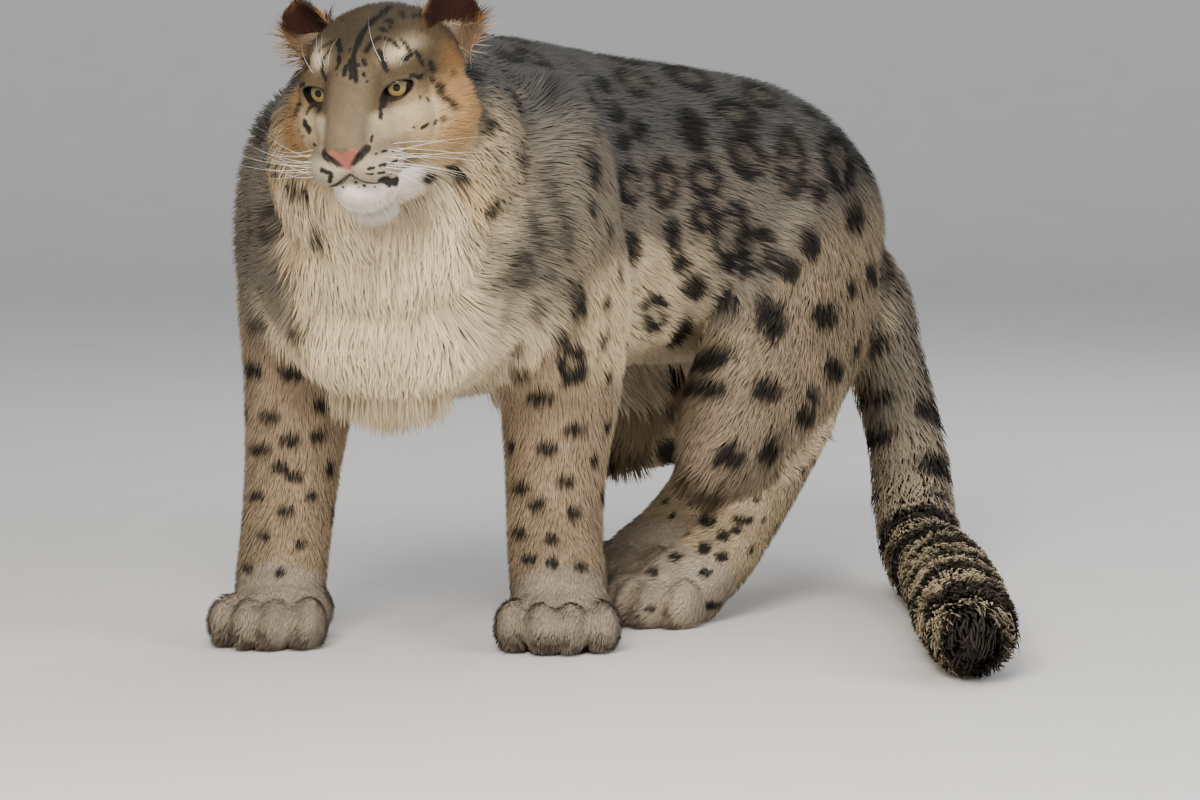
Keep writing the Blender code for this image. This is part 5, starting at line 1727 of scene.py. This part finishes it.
# %% Roots of the whiskers
# height on the lip in the head's frame, count, length
WHISKER_ROWS = [(-0.0460, 3, 0.070), (-0.0525, 5, 0.095), (-0.0585, 5, 0.100), (-0.0635, 3, 0.080)]
BROW_HAIRS = 5
BROW_REACH = 0.042
WHISKER_RADIUS = 0.00025
WHISKER_DROOP = 0.014
draw = np.random.default_rng(3)
whisker_root, whisker_way, whisker_reach = [], [], []


def add_whisker(guess, way, scatter, reach, shortest, longest):
    """One hair from the hide nearest to a place, with its way and length a little at random."""
    way = Vector(way) + Vector(draw.normal(0.0, scatter, 3))
    whisker_root.append(skin_tree.find_nearest(HEAD @ Vector(guess))[0])
    whisker_way.append((HEAD_TURN @ way).normalized())
    whisker_reach.append(reach * draw.uniform(shortest, longest))


for side in (1, -1):
    for high, count, reach in WHISKER_ROWS:
        for k in range(count):
            back_share = k / (count - 1)
            guess = (0.068 - 0.026 * back_share, 0.036 * side, high + 0.004 * back_share)
            way = (-0.30 - 0.30 * back_share, side, -0.12 + 9.0 * (high + 0.050))
            add_whisker(guess, way, 0.14, reach * (0.55 + 0.45 * back_share), 0.85, 1.1)
    for k in range(BROW_HAIRS):
        guess = (0.010, (0.026 + 0.0045 * k) * side, 0.026)
        way = (0.45, 0.18 * (k - 1.5) * side, 1.0)
        add_whisker(guess, way, 0.08, BROW_REACH, 0.6, 1.1)
roots = bpy.data.meshes.new("whisker_roots")
roots.from_pydata(whisker_root, [], [])
turns = roots.attributes.new("way", "FLOAT_VECTOR", "POINT")
turns.data.foreach_set("vector", np.array(whisker_way, np.float32).ravel())
reaches = roots.attributes.new("reach", "FLOAT", "POINT")
reaches.data.foreach_set("value", np.array(whisker_reach, np.float32))
holder = new_object("whisker_holder", roots)
print(len(whisker_root), "whiskers and brow hairs")

# %% The whiskers' node tree
hair = Finish("whisker", Roughness=0.40, Specular_IOR_Level=0.45)
sheen = hair.node("TexNoise", None, Vector=hair.place(), Scale=60.0, Detail=1.0)
hair.link(Base_Color=hair.mix(sheen, (0.70, 0.66, 0.58, 1.0), (0.95, 0.93, 0.88, 1.0)))
tree = bpy.data.node_groups.new("whiskers", "GeometryNodeTree")
tree.interface.new_socket("Geometry", in_out="INPUT", socket_type="NodeSocketGeometry")
thickness = tree.interface.new_socket("Thickness", in_out="INPUT", socket_type="NodeSocketFloat")
droop = tree.interface.new_socket("Droop", in_out="INPUT", socket_type="NodeSocketFloat")
tree.interface.new_socket("Geometry", in_out="OUTPUT", socket_type="NodeSocketGeometry")


def step(kind, settings=None, **sockets):
    """One node of the tree: its type, its settings, and the values or links of its sockets."""
    node = tree.nodes.new(kind)
    for key, value in (settings or {}).items():
        setattr(node, key, value)
    for key, value in sockets.items():
        socket = node.inputs[key.replace("_", " ")]
        if isinstance(value, bpy.types.NodeSocket):
            tree.links.new(value, socket)
        else:
            socket.default_value = value
    return node


inputs = step("NodeGroupInput")
bent = step("ShaderNodeCombineXYZ", Z=1.0)
tree.links.new(inputs.outputs["Droop"], bent.inputs["X"])
line = step("GeometryNodeCurveQuadraticBezier", Resolution=8, Start=(0, 0, 0), Middle=(0, 0, 0.55),
            End=bent.outputs["Vector"])
along = step("GeometryNodeSplineParameter")
thin = step("ShaderNodeMath", {"operation": "SUBTRACT"})
thin.inputs[0].default_value = 1.02
tree.links.new(along.outputs["Factor"], thin.inputs[1])
wide = step("ShaderNodeMath", {"operation": "MULTIPLY"})
tree.links.new(thin.outputs[0], wide.inputs[0])
tree.links.new(inputs.outputs["Thickness"], wide.inputs[1])
tapered = step("GeometryNodeSetCurveRadius", Curve=line.outputs["Curve"], Radius=wide.outputs[0])
circle = step("GeometryNodeCurvePrimitiveCircle", Resolution=5, Radius=1.0)
tube = step("GeometryNodeCurveToMesh", Curve=tapered.outputs["Curve"], Profile_Curve=circle.outputs["Curve"],
            Fill_Caps=True)
if "Scale" in tube.inputs:
    tree.links.new(wide.outputs[0], tube.inputs["Scale"])
way = step("GeometryNodeInputNamedAttribute", {"data_type": "FLOAT_VECTOR"}, Name="way")
reach = step("GeometryNodeInputNamedAttribute", {"data_type": "FLOAT"}, Name="reach")
turned = step("FunctionNodeAlignRotationToVector", {"axis": "Z"}, Vector=way.outputs["Attribute"])
each = step("ShaderNodeCombineXYZ", X=1.0, Y=1.0)
tree.links.new(reach.outputs["Attribute"], each.inputs["Z"])
spread = step("GeometryNodeInstanceOnPoints", Points=inputs.outputs["Geometry"],
              Instance=tube.outputs["Mesh"], Rotation=turned.outputs["Rotation"])
tree.links.new(each.outputs["Vector"], spread.inputs["Scale"])
real = step("GeometryNodeRealizeInstances", Geometry=spread.outputs["Instances"])
finished = step("GeometryNodeSetMaterial", Geometry=real.outputs["Geometry"], Material=hair.material)
output = step("NodeGroupOutput", Geometry=finished.outputs["Geometry"])

# %% Whiskers as a mesh
growth = holder.modifiers.new("whiskers", "NODES")
growth.node_group = tree
growth[thickness.identifier] = WHISKER_RADIUS
growth[droop.identifier] = WHISKER_DROOP
depsgraph = bpy.context.evaluated_depsgraph_get()
grown = bpy.data.meshes.new_from_object(holder.evaluated_get(depsgraph))
holder.modifiers.remove(growth)
bpy.data.objects.remove(holder)
whiskers = new_object("whiskers", grown)
if not grown.materials:
    grown.materials.append(hair.material)
grown.shade_smooth()
print("whiskers:", len(grown.polygons), "faces")

# %% [markdown]
# Each eye is one ball. Its colours are rings round the gaze: a round black pupil, an amber iris with fine
# spokes and a dark edge, darkened over its upper half as painted shadow of the upper lid, and the dark white
# of the eye that a cat hardly shows. A clear coat over it gives the wet highlight.

# %% Eyes
IRIS_EDGE = 0.56  # radians from the gaze
PUPIL_EDGE = 0.19
for side, label in ((1, "left"), (-1, "right")):
    eye = from_bmesh("eyeball_" + label, ball(side, EYE_RADIUS))
    inverse = np.array(eye_place(side).inverted())
    local = coordinates(eye.data) @ inverse[:3, :3].T + inverse[:3, 3]
    off = np.arccos(np.clip(local[:, 0] / EYE_RADIUS, -1.0, 1.0))
    store(eye.data, "off_gaze", off)
    store(eye.data, "turn", np.arctan2(local[:, 2], local[:, 1]))
    # low is 1 under the gaze's level and 0 over it: the iris's upper half takes painted shadow of the upper
    # lid
    store(eye.data, "low", smooth(local[:, 2], 0.004, -0.006))
    wet = Finish("wet_eye_" + label, Roughness=0.4, Specular_IOR_Level=0.0, Coat_Weight=1.0,
                 Coat_IOR=1.34, Coat_Roughness=0.02)
    gaze = wet.attribute("off_gaze")
    spokes = wet.node("TexNoise", None, Vector=wet.place(), Scale=700.0, Detail=2.0)
    # painted shadow of the upper lid: dark olive over the iris's top, amber below
    amber = wet.mix(wet.attribute("low"), (0.130, 0.108, 0.056, 1.0), (0.420, 0.290, 0.100, 1.0))
    iris = wet.mix(spokes, wet.mix(1.0, amber, (0.5, 0.5, 0.5, 1.0), "MULTIPLY"), amber)
    ringed = wet.mix(gaze.step(IRIS_EDGE - 0.10, IRIS_EDGE), iris, (0.012, 0.009, 0.007, 1.0))
    outer = wet.mix(gaze.step(IRIS_EDGE + 0.06, IRIS_EDGE + 0.14), ringed, (0.030, 0.020, 0.014, 1.0))
    colour = wet.mix(gaze.step(PUPIL_EDGE, PUPIL_EDGE + 0.03), (0.003, 0.003, 0.003, 1.0), outer)
    eye.data.materials.append(wet.link(Base_Color=colour))
    eye.data.shade_smooth()
    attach(eye, "root")
    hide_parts("eye_" + label)

# %% The pieces join the frame
flesh = [name for name in frame["nodes"] if not name.startswith("eye_")]
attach(skin, "root")
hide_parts(*flesh)
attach(whiskers, "root")
for piece in coat_objects:
    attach(piece, "root")
